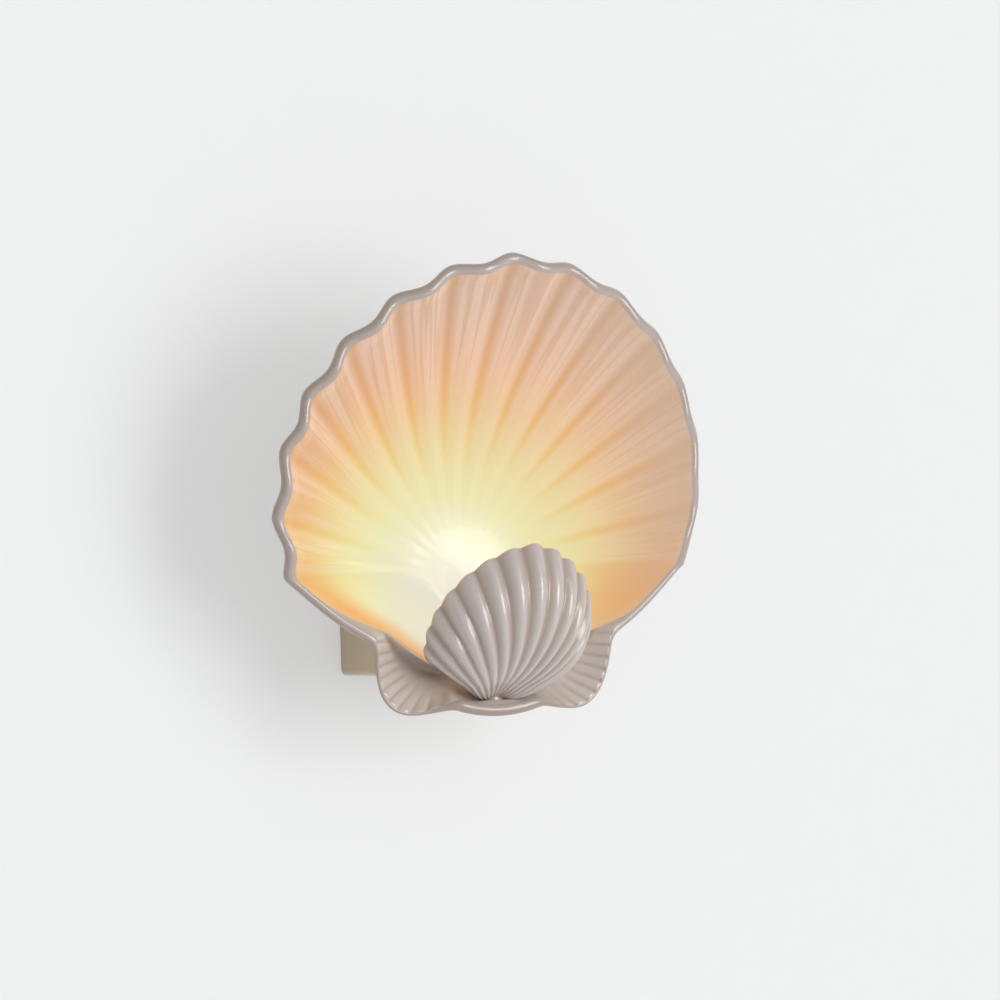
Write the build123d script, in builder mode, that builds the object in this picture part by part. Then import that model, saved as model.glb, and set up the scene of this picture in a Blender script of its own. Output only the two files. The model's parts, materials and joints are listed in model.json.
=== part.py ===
from build123d import *

import os
from math import cos, hypot, pi, radians, sin, sqrt
from typing import NamedTuple

# Shell wall sconce. Millimetres; +X is to the right for someone facing the wall, -Y is towards
# that person, +Z is up. The origin is the centre of the wall bracket's back face, on the wall.
# The bowl and the small shell are described by an angle and a radius about a pole in their own
# plan, and by a depth: the distance forward of the wall, or of the small shell's rim plane.

# ---------------------------------------------------------------- driving dimensions
# Bowl: a scallop valve whose flutes radiate from its pole.
pole_height = 6.0  # height of the pole above the origin
pole_depth = 55.0  # from the wall to the inside of the bowl at the pole
bowl_wall = 5.0
hub_radius = 16.0  # round middle of the bowl, free of flutes
hub_overlap = 2.0
pad_height = 1.0  # flat seats on the bowl's back
lip_thickness = 7.0
lip_band = 12.0  # inner band beside the lip
lip_crease = 0.12  # change of slope where the band begins
top_radius = 169.5  # pole to lip, straight up
top_depth = 131.0
side_radius = 117.5  # pole to lip at the side corners
side_depth = 84.0
side_angle = 90.5  # side corners, measured from straight up
rim_power = 1.5  # how the lip's radius falls from the top to the side corners
bowl_power = 1.75  # how the inside rises from the pole to the lip
flute_pitch = 12.2  # angle between flutes over the upper part
wide_flute_pitch = 14.75  # the two flutes next to each side corner
narrow_flutes = 5
wide_flutes = 2
flute_depth = 4.4
flute_steps = 4  # cuts to a flute

# Lower part of the casting: a ridge closes the bowl, and the ears and the wavy bottom lip
# flare forward beyond it.
waist_angle = 115.6  # where the rim meets the ear
waist_radius = 80.8
waist_depth = 91.0
waist_bow = 2.5  # how far the rim bows out between side corner and waist
ear_radius = 98.5
ear_depth = 88.0
ear_skew = 1.2  # above 1 the ear's tip leans towards the bottom
notch_angle = 161.0  # between ear and bottom lip
bottom_radius = 78.9  # pole to the bottom lip, straight down
bottom_depth = 96.4
ridge_radius = 62.0  # pole to the ridge, straight down
ridge_depth = 81.0
dish_depth = 7.0  # how far the ear's dish falls back behind the ridge
dish_run_share = 1.15  # shape of the dish: its first control point, as shares of its depth
dish_fall_share = 1.6
dish_back_share = 0.8  # outward shift of the back behind the dish, as a share of its depth
hub_slope = 0.02  # slope of the bowl where it leaves the hub
ear_cuts = 12  # cuts from waist to straight down
waist_shares = (0.3, 0.6, 0.85)  # cuts between side corner and waist
side_slope = 0.5  # forward rise of the lip's wall for each millimetre outwards
bottom_slope = 3.0

# Small shell, standing on the bottom lip and leaning forward.
umbo_height = -63.0
umbo_depth = 83.0
small_length = 100.5
small_lean = 35.0  # from upright
small_rise = 29.0  # bulge of the small shell above its rim plane
small_wall = 4.5
edge_share = 0.5  # length of the fan's side edges, as a share of its middle
small_power = 1.4  # roundness of the small shell's rim in plan
flank_share = 0.97  # how far the bulge falls away towards the fan's sides
flank_power = 0.6
foot_shares = (0.25, 1.1)  # first control point of its profile, as shares of reach and rise
brow_shares = (0.85, 1.6)  # second control point
skirt_share = 0.25  # height where the profile starts, as a share of the rise
rib_angle = 9.3
side_ribs = 6  # ribs on each side of the middle one
rib_depth = 2.4
small_start = 8.0  # where the fan leaves the umbo's ball
umbo_radius = 10.3
umbo_ball_depth = 92.5
umbo_ball_height = -60.0
foot_height = -62.2  # flat joint between the bowl's post and the small shell
post_radius = 6.0
post_length = 9.0
insert_radius = 2.5
insert_length = 8.0

# Back box and wall fixing.
box_width = 100.0
box_height = 100.0
box_wall = 4.0
box_front = 5.0
box_corner = 3.0
gasket_thickness = 1.5
seat_gasket_thickness = 1.0
sheet = 1.5  # steel of the brackets
bracket_height = 26.0
tab_depth = 15.0
tab_clearance = 0.3
slot_spacing = 60.0
slot_length = 12.0
slot_width = 4.5
cable_hole_radius = 8.0
grommet_lip = 1.5
side_screw_depth = 9.0  # side screws' distance from the wall
earth_screw_place = 17.0  # right of the cable hole
m4_radius = 2.0
m4_head_radius = 3.8
m4_head_height = 2.4
m3_radius = 1.5
m3_head_radius = 2.8
m3_head_height = 2.0
m3_nut_height = 2.4
screw_clearance = 0.2  # radial, in a plain hole
thread_fit = 0.05  # radial, in a thread

# Threaded nipple and its washers. It passes low in the box, and ends behind the lamp holder.
nipple_radius = 5.0
nipple_bore = 3.75
nipple_nut_size = 7.5  # half the width across flats
nipple_nut_height = 3.0
nipple_end = 1.2  # thread showing beyond each nut
washer_radius = 8.5
washer_thickness = 1.0
washer_gap = 1.5  # between the rear washer and the box's floor
boss_radius = 11.0
bush_flange = 0.8
bush_insert = 5.0
bush_bore = 2.9

# Lamp.
nut_gap = 0.34  # between the corners of the front nut and the lamp's shelf
lamp_depth = 87.4
leg_width = 16.0
holder_radius = 8.0
holder_gap = 1.9  # between the nipple's bush and the lamp holder
holder_length = 18.0
flange_thickness = 3.5
flange_length = 31.0
flange_width = 14.0
holder_screw_spacing = 23.0
bulb_radius = 7.0
bulb_length = 32.0
bulb_base_height = 8.0
glass_wall = 1.0
bulb_seat_gap = 0.3
pin_radius = 0.65
pin_spacing = 9.0
pin_length = 9.0
pin_clearance = 0.4
stick_radius = 2.6
stick_gap = 2.0  # between the light stick's end and the round end of the glass
contact_height = 6.0
contact_thickness = 0.5

# Terminal block and leads.
block_width = 30.0
block_height = 16.0
block_depth = 14.0
block_bottom = 17.0  # height of its lower face
pole_pitch = 9.0
clamp_radius = 2.4
clamp_wall = 0.8
lead_radius = 1.1
lead_bend = 7.0
lead_spacing = 2.6  # between the two leads inside the nipple
lug_thickness = 0.8
lug_length = 4.0  # barrel beyond the lug's plate
loop_drop = 9.0  # earth lead's loop below its lug
loop_side = 4.0
loop_bend = 3.5


# ---------------------------------------------------------------- derived places
back_depth = pole_depth - bowl_wall
seat_depth = back_depth - pad_height  # plane of the bowl's flat seats
box_depth = seat_depth - seat_gasket_thickness
inner_width = box_width - 2 * box_wall
inner_height = box_height - 2 * box_wall
side_flutes = narrow_flutes + wide_flutes
fan_angle = rib_angle * (side_ribs + 0.5)
nipple_height = washer_radius + washer_gap - inner_height / 2
shelf_height = nipple_height + nipple_nut_size / cos(radians(30)) + nut_gap
front_stack = sheet + 2 * washer_thickness + nipple_nut_height  # soft washer, leg, lock washer, nut
nipple_front = lamp_depth - holder_radius - holder_gap - bush_flange
boss_depth = nipple_front - nipple_end - front_stack
rear_face = box_depth - box_front
nipple_back = rear_face - washer_thickness - nipple_nut_height - nipple_end
holder_top = shelf_height + sheet + flange_thickness
holder_bottom = shelf_height - holder_length
bulb_bottom = holder_top + bulb_seat_gap


def forward(depth):
    """Plane parallel to the wall, at a depth in front of it."""
    return Plane.XZ.offset(depth)


def level(height):
    """Horizontal plane at a height."""
    return Plane.XY.offset(height)


# ---------------------------------------------------------------- bowl
class Station(NamedTuple):
    """Radial cut of the casting: lip and ridge as (radius, depth), dish behind the ridge."""

    angle: float
    lip: tuple
    ridge: tuple
    slope: float
    dish: float = 0.0
    lift: float = 0.0


def flute_angle(index):
    """Angle of a flute's bottom, counted from the one that points straight up."""
    return flute_pitch * index + (wide_flute_pitch - flute_pitch) * max(index - narrow_flutes, 0)


def upper_station(angle, lift):
    """Cut through the fluted part; lift is how far a crest stands above the flutes."""
    turn = min(angle / side_angle, 1.0)
    radius = top_radius - (top_radius - side_radius) * turn**rim_power
    depth = side_depth + (top_depth - side_depth) * cos(radians(angle)) ** 2
    rise = depth + lip_thickness - pole_depth
    ridge_r = radius - lip_band
    ridge_d = pole_depth + rise * (ridge_r / radius) ** bowl_power
    return Station(angle, (radius, depth), (ridge_r, ridge_d), bowl_power * rise / radius, 0.0, lift)


def waist_station(angle):
    """Cut between the side corner and the waist, where the rim is straight in plan."""
    reach = side_radius * waist_radius * sin(radians(waist_angle - side_angle))
    near_corner = side_radius * sin(radians(angle - side_angle))
    near_waist = waist_radius * sin(radians(waist_angle - angle))
    share = (angle - side_angle) / (waist_angle - side_angle)
    radius = reach / (near_corner + near_waist) + waist_bow * sin(pi * share)
    depth = side_depth + (waist_depth - side_depth) * share
    return Station(angle, (radius, depth), (radius - lip_band, depth), side_slope)


def ear_station(angle):
    """Cut through an ear or the wavy bottom lip."""
    share = min((angle - waist_angle) / (notch_angle - waist_angle), 1.0)
    bulge = sin(radians(180.0 * share**ear_skew)) ** 2
    radius = waist_radius + (bottom_radius - waist_radius) * share
    radius += (ear_radius - waist_radius) * bulge
    depth = waist_depth + (bottom_depth - waist_depth) * share
    depth -= (0.5 * (waist_depth + bottom_depth) - ear_depth) * bulge
    ridge_r = ridge_radius + (waist_radius - lip_band - ridge_radius) * (1 - share) ** 2
    ridge_d = waist_depth + (ridge_depth - waist_depth) * share
    slope = side_slope + (bottom_slope - side_slope) * share**2 * (1 - bulge)
    return Station(angle, (radius, depth), (ridge_r, ridge_d), slope, dish_depth * min(3 * share, 1.0))


def bowl_section(cut):
    """Closed face of one radial cut: inside, rolled lip, outside and the hub's edge."""
    size = sqrt(1 + cut.slope**2)
    along = (1 / size, cut.slope / size)
    normal = (-cut.slope / size, 1 / size)
    outer = (cut.lip[0] + normal[0] * cut.lift, cut.lip[1] + normal[1] * cut.lift)
    inner = (outer[0] + normal[0] * lip_thickness, outer[1] + normal[1] * lip_thickness)
    roll = (
        (outer[0] + inner[0] + along[0] * lip_thickness) / 2,
        (outer[1] + inner[1] + along[1] * lip_thickness) / 2,
    )
    ridge = (cut.ridge[0] + normal[0] * cut.lift, cut.ridge[1] + normal[1] * cut.lift)
    back = (cut.ridge[0] + dish_back_share * cut.dish, ridge[1] - cut.dish - bowl_wall)
    run = (ridge[0] - hub_radius) / 3
    back_run = (back[0] - hub_radius) / 3
    steep = bowl_power * (ridge[1] - pole_depth) / ridge[0]
    band = (1 - cut.dish / dish_depth) * (inner[0] - ridge[0]) / 3
    band_slope = steep + lip_crease
    fall = (band + dish_run_share * cut.dish, band_slope * band - dish_fall_share * cut.dish)
    reach = hypot(inner[0] - ridge[0], inner[1] - ridge[1]) / 3
    back_reach = hypot(outer[0] - back[0], outer[1] - back[1]) / 3
    plane = Plane(
        origin=(0, 0, pole_height),
        x_dir=(sin(radians(cut.angle)), 0, cos(radians(cut.angle))),
        z_dir=(cos(radians(cut.angle)), 0, -sin(radians(cut.angle))),
    )
    with BuildSketch(plane) as section:
        with BuildLine():
            Bezier(
                (hub_radius, pole_depth),
                (hub_radius + run, pole_depth + hub_slope * run),
                (ridge[0] - run, ridge[1] - steep * run),
                ridge,
            )
            Bezier(
                ridge,
                (ridge[0] + fall[0], ridge[1] + fall[1]),
                (inner[0] - along[0] * reach, inner[1] - along[1] * reach),
                inner,
            )
            ThreePointArc(inner, roll, outer)
            Bezier(
                outer,
                (outer[0] - along[0] * back_reach, outer[1] - along[1] * back_reach),
                (back[0] + back_reach / 2, back[1] + band_slope * back_reach / 2),
                back,
            )
            Bezier(
                back,
                (back[0] - back_run, back[1] - steep * back_run),
                (hub_radius + back_run, back_depth + hub_slope * back_run),
                (hub_radius, back_depth),
            )
            Line((hub_radius, back_depth), (hub_radius, pole_depth))
        make_face()
    return section.sketch


def bowl_cuts():
    """Radial cuts of the right half, from straight up to straight down."""
    cuts = []
    for index in range(side_flutes):
        for step in range(flute_steps):
            share = step / flute_steps
            angle = flute_angle(index) + share * (flute_angle(index + 1) - flute_angle(index))
            cuts.append(upper_station(angle, flute_depth * (1 - cos(2 * pi * share)) / 2))
    cuts.append(upper_station(flute_angle(side_flutes), 0))
    for share in waist_shares:
        cuts.append(waist_station(side_angle + share * (waist_angle - side_angle)))
    for step in range(1, ear_cuts + 1):
        cuts.append(ear_station(waist_angle + (180 - waist_angle) * step / ear_cuts))
    return cuts


with BuildPart() as shell_bowl:
    loft(sections=[bowl_section(cut) for cut in bowl_cuts()], ruled=True)
    mirror(about=Plane.YZ)
    with BuildSketch(forward(seat_depth)):
        with Locations((0, pole_height)):
            Circle(hub_radius + hub_overlap)
    extrude(amount=pad_height + bowl_wall - 1)
    with BuildSketch(forward(seat_depth)):
        with Locations((0, nipple_height)):
            Circle(boss_radius)
    extrude(amount=boss_depth - seat_depth)
    with BuildSketch(forward(boss_depth)):
        with Locations((0, nipple_height)):
            Circle(boss_radius + screw_clearance)
    extrude(amount=boss_radius, mode=Mode.SUBTRACT)
    with BuildSketch(forward(seat_depth)):
        with Locations((0, nipple_height)):
            Circle(nipple_radius + screw_clearance)
    extrude(amount=boss_depth, mode=Mode.SUBTRACT)
    with BuildSketch(level(foot_height)):
        with Locations((0, -umbo_ball_depth)):
            Circle(post_radius)
    extrude(amount=-post_length)
    with BuildSketch(level(foot_height)):
        with Locations((0, -umbo_ball_depth)):
            Circle(m3_radius + screw_clearance)
    extrude(amount=-2 * post_length, mode=Mode.SUBTRACT)
    with BuildSketch(level(foot_height - post_length + m3_head_height)):
        with Locations((0, -umbo_ball_depth)):
            Circle(m3_head_radius + screw_clearance)
    extrude(amount=-2 * post_length, mode=Mode.SUBTRACT)


# ---------------------------------------------------------------- small shell
def small_section(angle, lift):
    """Closed face of one cut of the small shell, through the umbo's axis."""
    lean = radians(small_lean)
    turn = radians(angle)
    share = angle / fan_angle
    reach = small_length * (1 - (1 - edge_share) * share**small_power)
    rise = small_rise * (1 - flank_share * share**2) ** flank_power
    rim = (reach + 0.6 * lift, 0.5 * lift)
    slope = brow_shares[1] * rise / ((1 - brow_shares[0]) * reach)
    size = sqrt(1 + slope**2)
    inner = (rim[0] - small_wall * slope / size, rim[1] - small_wall / size)
    start = skirt_share * rise
    foot = (foot_shares[0] * reach, foot_shares[1] * rise + 0.3 * lift)
    brow = (brow_shares[0] * reach, brow_shares[1] * rise + lift)
    plane = Plane(
        origin=(0, -umbo_depth, umbo_height),
        x_dir=(sin(turn), -cos(turn) * sin(lean), cos(turn) * cos(lean)),
        z_dir=(cos(turn), sin(turn) * sin(lean), -sin(turn) * cos(lean)),
    )
    with BuildSketch(plane) as section:
        with BuildLine():
            Bezier(
                (small_start, start),
                foot,
                brow,
                rim,
            )
            Line(rim, inner)
            Bezier(
                inner,
                (brow[0] - 0.02 * reach, brow[1] - 1.3 * small_wall),
                (foot[0] + 0.01 * reach, foot[1] - 1.2 * small_wall),
                (small_start, start - small_wall),
            )
            Line((small_start, start - small_wall), (small_start, start))
        make_face()
    return section.sketch


def small_cuts():
    """Cuts of the small shell's right half; crests lie at whole multiples of the pitch."""
    cuts = []
    for step in range(4 * side_ribs + 3):
        lift = rib_depth * (1 + cos(0.5 * pi * step)) / 2
        cuts.append(small_section(rib_angle * step / 4, lift))
    return cuts


with BuildPart() as small_shell:
    loft(sections=small_cuts(), ruled=True)
    mirror(about=Plane.YZ)
    with Locations((0, -umbo_ball_depth, umbo_ball_height)):
        Sphere(umbo_radius)
    split(bisect_by=level(foot_height), keep=Keep.TOP)
    with BuildSketch(level(foot_height)):
        with Locations((0, -umbo_ball_depth)):
            Circle(insert_radius)
    extrude(amount=insert_length, mode=Mode.SUBTRACT)

with BuildPart() as shell_insert:
    with BuildSketch(level(foot_height)):
        with Locations((0, -umbo_ball_depth)):
            Circle(insert_radius - thread_fit)
            Circle(m3_radius + thread_fit, mode=Mode.SUBTRACT)
    extrude(amount=insert_length - thread_fit)

with BuildPart() as shell_screw:
    with BuildSketch(level(foot_height - post_length + m3_head_height)):
        with Locations((0, -umbo_ball_depth)):
            Circle(m3_head_radius)
    extrude(amount=-m3_head_height)
    with BuildSketch(level(foot_height - post_length + m3_head_height)):
        with Locations((0, -umbo_ball_depth)):
            Circle(m3_radius)
    extrude(amount=post_length - m3_head_height + insert_length - 1)


# ---------------------------------------------------------------- back box and its seals
with BuildPart() as back_box:
    with BuildSketch(forward(gasket_thickness)):
        Rectangle(box_width, box_height)
    extrude(amount=box_depth - gasket_thickness)
    fillet(back_box.edges().filter_by(Axis.Y), box_corner)
    fillet(back_box.faces().sort_by(Axis.Y)[0].edges(), box_corner - 1)
    with BuildSketch(forward(gasket_thickness)):
        RectangleRounded(inner_width, inner_height, 1.0)
    extrude(amount=box_depth - box_front - gasket_thickness, mode=Mode.SUBTRACT)
    with BuildSketch(forward(rear_face)):
        with Locations((0, nipple_height)):
            Circle(nipple_radius + screw_clearance)
    extrude(amount=box_front, mode=Mode.SUBTRACT)
    with BuildSketch(Plane.YZ):
        with Locations((-side_screw_depth, 0)):
            Circle(m4_radius + screw_clearance)
    extrude(amount=box_width, both=True, mode=Mode.SUBTRACT)

with BuildPart() as wall_gasket:
    with BuildSketch(forward(0)):
        RectangleRounded(box_width - 1, box_height - 1, box_corner)
        RectangleRounded(inner_width, inner_height, 1.0, mode=Mode.SUBTRACT)
    extrude(amount=gasket_thickness)

with BuildPart() as seat_gasket:
    with BuildSketch(forward(box_depth)):
        with Locations((0, pole_height)):
            Circle(hub_radius + hub_overlap)
        with Locations((0, nipple_height)):
            Circle(boss_radius)
        with Locations((0, (pole_height + nipple_height) / 2)):
            Rectangle(2 * boss_radius, pole_height - nipple_height)
        with Locations((0, nipple_height)):
            Circle(nipple_radius + screw_clearance, mode=Mode.SUBTRACT)
    extrude(amount=seat_gasket_thickness)


# ---------------------------------------------------------------- wall bracket and its fasteners
tab_face = inner_width / 2 - tab_clearance
tongue_width = 0.8 * block_width
tongue_top = block_bottom + block_height
with BuildPart() as wall_bracket:
    with BuildSketch(forward(0)):
        Rectangle(2 * tab_face, bracket_height)
        with Locations((0, tongue_top / 2)):
            Rectangle(tongue_width, tongue_top)
    extrude(amount=sheet)
    for side in (-1, 1):
        with BuildSketch(forward(0)):
            with Locations((side * (tab_face - sheet / 2), 0)):
                Rectangle(sheet, bracket_height)
        extrude(amount=tab_depth)
    with BuildSketch(Plane.YZ):
        with Locations((-side_screw_depth, 0)):
            Circle(m4_radius + thread_fit)
    extrude(amount=box_width, both=True, mode=Mode.SUBTRACT)
    with BuildSketch(forward(0)):
        with Locations((-slot_spacing / 2, 0), (slot_spacing / 2, 0)):
            SlotOverall(slot_length, slot_width)
        Circle(cable_hole_radius)
        with Locations((earth_screw_place, 0)):
            Circle(m4_radius + thread_fit)
        with Locations((pole_pitch / 2, block_bottom + block_height / 2)):
            Circle(m3_radius + thread_fit)
    extrude(amount=sheet, mode=Mode.SUBTRACT)

with BuildPart() as cable_grommet:
    with BuildSketch(forward(0)):
        Circle(cable_hole_radius - thread_fit)
    extrude(amount=sheet)
    with BuildSketch(forward(sheet)):
        Circle(cable_hole_radius + grommet_lip)
    extrude(amount=grommet_lip)
    fillet(cable_grommet.faces().sort_by(Axis.Y)[0].edges(), grommet_lip / 2)
    with BuildSketch(forward(0)):
        Circle(cable_hole_radius - 2 * grommet_lip)
    extrude(amount=sheet + grommet_lip, mode=Mode.SUBTRACT)

with BuildPart() as side_screws:
    for side in (-1, 1):
        with BuildSketch(Plane.YZ.offset(side * box_width / 2)):
            with Locations((-side_screw_depth, 0)):
                Circle(m4_head_radius)
        extrude(amount=side * m4_head_height)
        with BuildSketch(Plane.YZ.offset(side * box_width / 2)):
            with Locations((-side_screw_depth, 0)):
                Circle(m4_radius)
        extrude(amount=-side * 2 * box_wall)

lug_front = sheet + lug_thickness
lug_barrel = lead_radius + 0.5
with BuildPart() as earth_lug:
    with BuildSketch(forward(sheet)):
        with Locations((earth_screw_place, 0)):
            Circle(m4_head_radius)
        with Locations((earth_screw_place, -m4_head_radius)):
            Rectangle(2 * lug_barrel, 2 * m4_head_radius)
        with Locations((earth_screw_place, 0)):
            Circle(m4_radius + screw_clearance, mode=Mode.SUBTRACT)
    extrude(amount=lug_thickness)
    with BuildSketch(level(-2 * m4_head_radius)):
        with Locations((earth_screw_place, -sheet - lug_barrel)):
            Circle(lug_barrel)
    extrude(amount=-lug_length)

with BuildPart() as earth_screw:
    with BuildSketch(forward(lug_front)):
        with Locations((earth_screw_place, 0)):
            Circle(m4_head_radius - screw_clearance)
    extrude(amount=m4_head_height)
    with BuildSketch(forward(lug_front)):
        with Locations((earth_screw_place, 0)):
            Circle(m4_radius)
    extrude(amount=-lug_front)


# ---------------------------------------------------------------- nipple, nuts, washers, bushes
def ring(plane, place, outside, bore, height):
    """Flat ring standing on a plane."""
    with BuildPart() as part:
        with BuildSketch(plane):
            with Locations(place):
                Circle(outside)
                Circle(bore, mode=Mode.SUBTRACT)
        extrude(amount=height)
    return part


def hex_nut(plane, place, half_flats, bore, height):
    """Hexagon nut standing on a plane."""
    with BuildPart() as part:
        with BuildSketch(plane):
            with Locations(place):
                RegularPolygon(half_flats, 6, major_radius=False)
                Circle(bore, mode=Mode.SUBTRACT)
        extrude(amount=height)
    return part


nipple_place = (0, nipple_height)
clear_bore = nipple_radius + screw_clearance
tight_bore = nipple_radius + thread_fit
rear_nut_back = rear_face - washer_thickness - nipple_nut_height
leg_back = boss_depth + washer_thickness
leg_front = leg_back + sheet
front_nut_back = leg_front + washer_thickness
threaded_nipple = ring(
    forward(nipple_back), nipple_place, nipple_radius, nipple_bore, nipple_front - nipple_back
)
rear_washer = ring(
    forward(rear_face - washer_thickness), nipple_place, washer_radius, clear_bore, washer_thickness
)
boss_washer = ring(forward(boss_depth), nipple_place, washer_radius, clear_bore, washer_thickness)
lock_washer = ring(forward(leg_front), nipple_place, washer_radius - 1, clear_bore, washer_thickness)
rear_nut = hex_nut(forward(rear_nut_back), nipple_place, nipple_nut_size, tight_bore, nipple_nut_height)
front_nut = hex_nut(forward(front_nut_back), nipple_place, nipple_nut_size, tight_bore, nipple_nut_height)

with BuildPart() as nipple_bushes:
    for face, way in ((nipple_back, -1), (nipple_front, 1)):
        with BuildSketch(forward(face)):
            with Locations(nipple_place):
                Circle(nipple_radius - screw_clearance)
        extrude(amount=way * bush_flange)
        with BuildSketch(forward(face)):
            with Locations(nipple_place):
                Circle(nipple_bore - thread_fit)
        extrude(amount=-way * bush_insert)
        with BuildSketch(forward(face + way * bush_flange)):
            with Locations(nipple_place):
                Circle(bush_bore)
        extrude(amount=-way * (bush_insert + bush_flange), mode=Mode.SUBTRACT)


# ---------------------------------------------------------------- lamp holder and bulb
shelf_top = shelf_height + sheet
shelf_front = lamp_depth + holder_radius + 2 * sheet
screw_places = [(side * holder_screw_spacing / 2, -lamp_depth) for side in (-1, 1)]
pin_places = [(side * pin_spacing / 2, -lamp_depth) for side in (-1, 1)]
slot_width_x = 2 * (pin_radius + pin_clearance) + contact_thickness + 0.5
slot_inner = pin_spacing / 2 - pin_radius - pin_clearance
slot_floor = holder_top - pin_length - 1.5
with BuildPart() as holder_bracket:
    with BuildSketch(forward(leg_back)):
        with Locations(nipple_place):
            Circle(leg_width / 2)
        with Locations((0, (nipple_height + shelf_top) / 2)):
            Rectangle(leg_width, shelf_top - nipple_height)
        with Locations(nipple_place):
            Circle(clear_bore, mode=Mode.SUBTRACT)
    extrude(amount=sheet)
    with BuildSketch(level(shelf_height)):
        with Locations((0, -(leg_back + shelf_front) / 2)):
            Rectangle(flange_length, shelf_front - leg_back)
        with Locations((0, -lamp_depth)):
            Circle(holder_radius + screw_clearance, mode=Mode.SUBTRACT)
        with Locations(screw_places):
            Circle(m3_radius + screw_clearance, mode=Mode.SUBTRACT)
    extrude(amount=sheet)

with BuildPart() as lamp_holder:
    with BuildSketch(level(holder_bottom)):
        with Locations((0, -lamp_depth)):
            Circle(holder_radius)
    extrude(amount=holder_top - holder_bottom)
    with BuildSketch(level(shelf_top)):
        with Locations((0, -lamp_depth)):
            SlotOverall(flange_length, flange_width)
    extrude(amount=flange_thickness)
    chamfer(lamp_holder.faces().sort_by(Axis.Z)[0].edges(), 0.8)
    with BuildSketch(level(holder_top)):
        with Locations(screw_places):
            Circle(m3_radius + screw_clearance)
    extrude(amount=-flange_thickness, mode=Mode.SUBTRACT)
    with BuildSketch(level(holder_top)):
        with Locations([(side * (slot_inner + slot_width_x / 2), -lamp_depth) for side in (-1, 1)]):
            Rectangle(slot_width_x, 4 * pin_radius + 2)
    extrude(amount=slot_floor - holder_top, mode=Mode.SUBTRACT)
    with BuildSketch(forward(lamp_depth - holder_radius)):
        with Locations(nipple_place):
            Circle(bush_bore)
    extrude(amount=holder_radius / 2, mode=Mode.SUBTRACT)

with BuildPart() as holder_contacts:
    edge = slot_inner + slot_width_x - contact_thickness / 2
    with BuildSketch(level(slot_floor)):
        with Locations([(side * edge, -lamp_depth) for side in (-1, 1)]):
            Rectangle(contact_thickness, 4 * pin_radius)
    extrude(amount=contact_height)

with BuildPart() as holder_screws:
    with BuildSketch(level(holder_top)):
        with Locations(screw_places):
            Circle(m3_head_radius)
    extrude(amount=m3_head_height)
    with BuildSketch(level(holder_top)):
        with Locations(screw_places):
            Circle(m3_radius)
    extrude(amount=-(flange_thickness + sheet + m3_nut_height + 1))

with BuildPart() as holder_nuts:
    with BuildSketch(level(shelf_height)):
        with Locations(screw_places):
            RegularPolygon(m3_head_radius, 6, major_radius=False)
            Circle(m3_radius + thread_fit, mode=Mode.SUBTRACT)
    extrude(amount=-m3_nut_height)

base_top = bulb_bottom + bulb_base_height
bulb_top = bulb_bottom + bulb_length
with BuildPart() as bulb_base:
    with BuildSketch(level(bulb_bottom)):
        with Locations((0, -lamp_depth)):
            Circle(bulb_radius)
    extrude(amount=bulb_base_height)
    fillet(bulb_base.edges().filter_by(GeomType.CIRCLE), 0.8)

with BuildPart() as bulb_pins:
    with BuildSketch(level(bulb_bottom)):
        with Locations(pin_places):
            Circle(pin_radius)
    extrude(amount=-pin_length)
    fillet(bulb_pins.edges().group_by(Axis.Z)[0], pin_radius / 2)

with BuildPart() as bulb_glass:
    glass_radius = bulb_radius - 1.0
    with BuildSketch(Plane.YZ) as glass_half:
        with BuildLine():
            Line((-lamp_depth, base_top), (-lamp_depth - glass_radius, base_top))
            Line((-lamp_depth - glass_radius, base_top), (-lamp_depth - glass_radius, bulb_top - glass_radius))
            CenterArc((-lamp_depth, bulb_top - glass_radius), glass_radius, 90, 90)
            Line((-lamp_depth, bulb_top), (-lamp_depth, base_top))
        make_face()
        with BuildLine():
            inside = glass_radius - glass_wall
            Line((-lamp_depth, base_top), (-lamp_depth - inside, base_top))
            Line((-lamp_depth - inside, base_top), (-lamp_depth - inside, bulb_top - glass_radius))
            CenterArc((-lamp_depth, bulb_top - glass_radius), inside, 90, 90)
            Line((-lamp_depth, bulb_top - glass_wall), (-lamp_depth, base_top))
        make_face(mode=Mode.SUBTRACT)
    revolve(axis=Axis((0, -lamp_depth, 0), (0, 0, 1)))

with BuildPart() as light_stick:
    with BuildSketch(level(base_top)):
        with Locations((0, -lamp_depth)):
            Circle(stick_radius)
    extrude(amount=bulb_top - glass_radius - stick_gap - base_top)


# ---------------------------------------------------------------- terminal block and leads
clamp_depth = sheet + block_depth / 2
block_middle = block_bottom + block_height / 2
pole_places = [-pole_pitch, 0, pole_pitch]
with BuildPart() as terminal_block:
    with BuildSketch(forward(sheet)):
        with Locations((0, block_middle)):
            RectangleRounded(block_width, block_height, 1.5)
    extrude(amount=block_depth)
    with BuildSketch(level(block_bottom)):
        with Locations([(place, -clamp_depth) for place in pole_places]):
            Circle(clamp_radius + thread_fit)
    extrude(amount=block_height, mode=Mode.SUBTRACT)
    with BuildSketch(forward(clamp_depth)):
        with Locations([(place, block_middle + way * block_height / 4) for place in pole_places for way in (-1, 1)]):
            Circle(m3_radius + screw_clearance)
    extrude(amount=block_depth, mode=Mode.SUBTRACT)
    with BuildSketch(forward(sheet)):
        with Locations((pole_pitch / 2, block_middle)):
            Circle(m3_radius + screw_clearance)
    extrude(amount=block_depth, mode=Mode.SUBTRACT)

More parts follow.
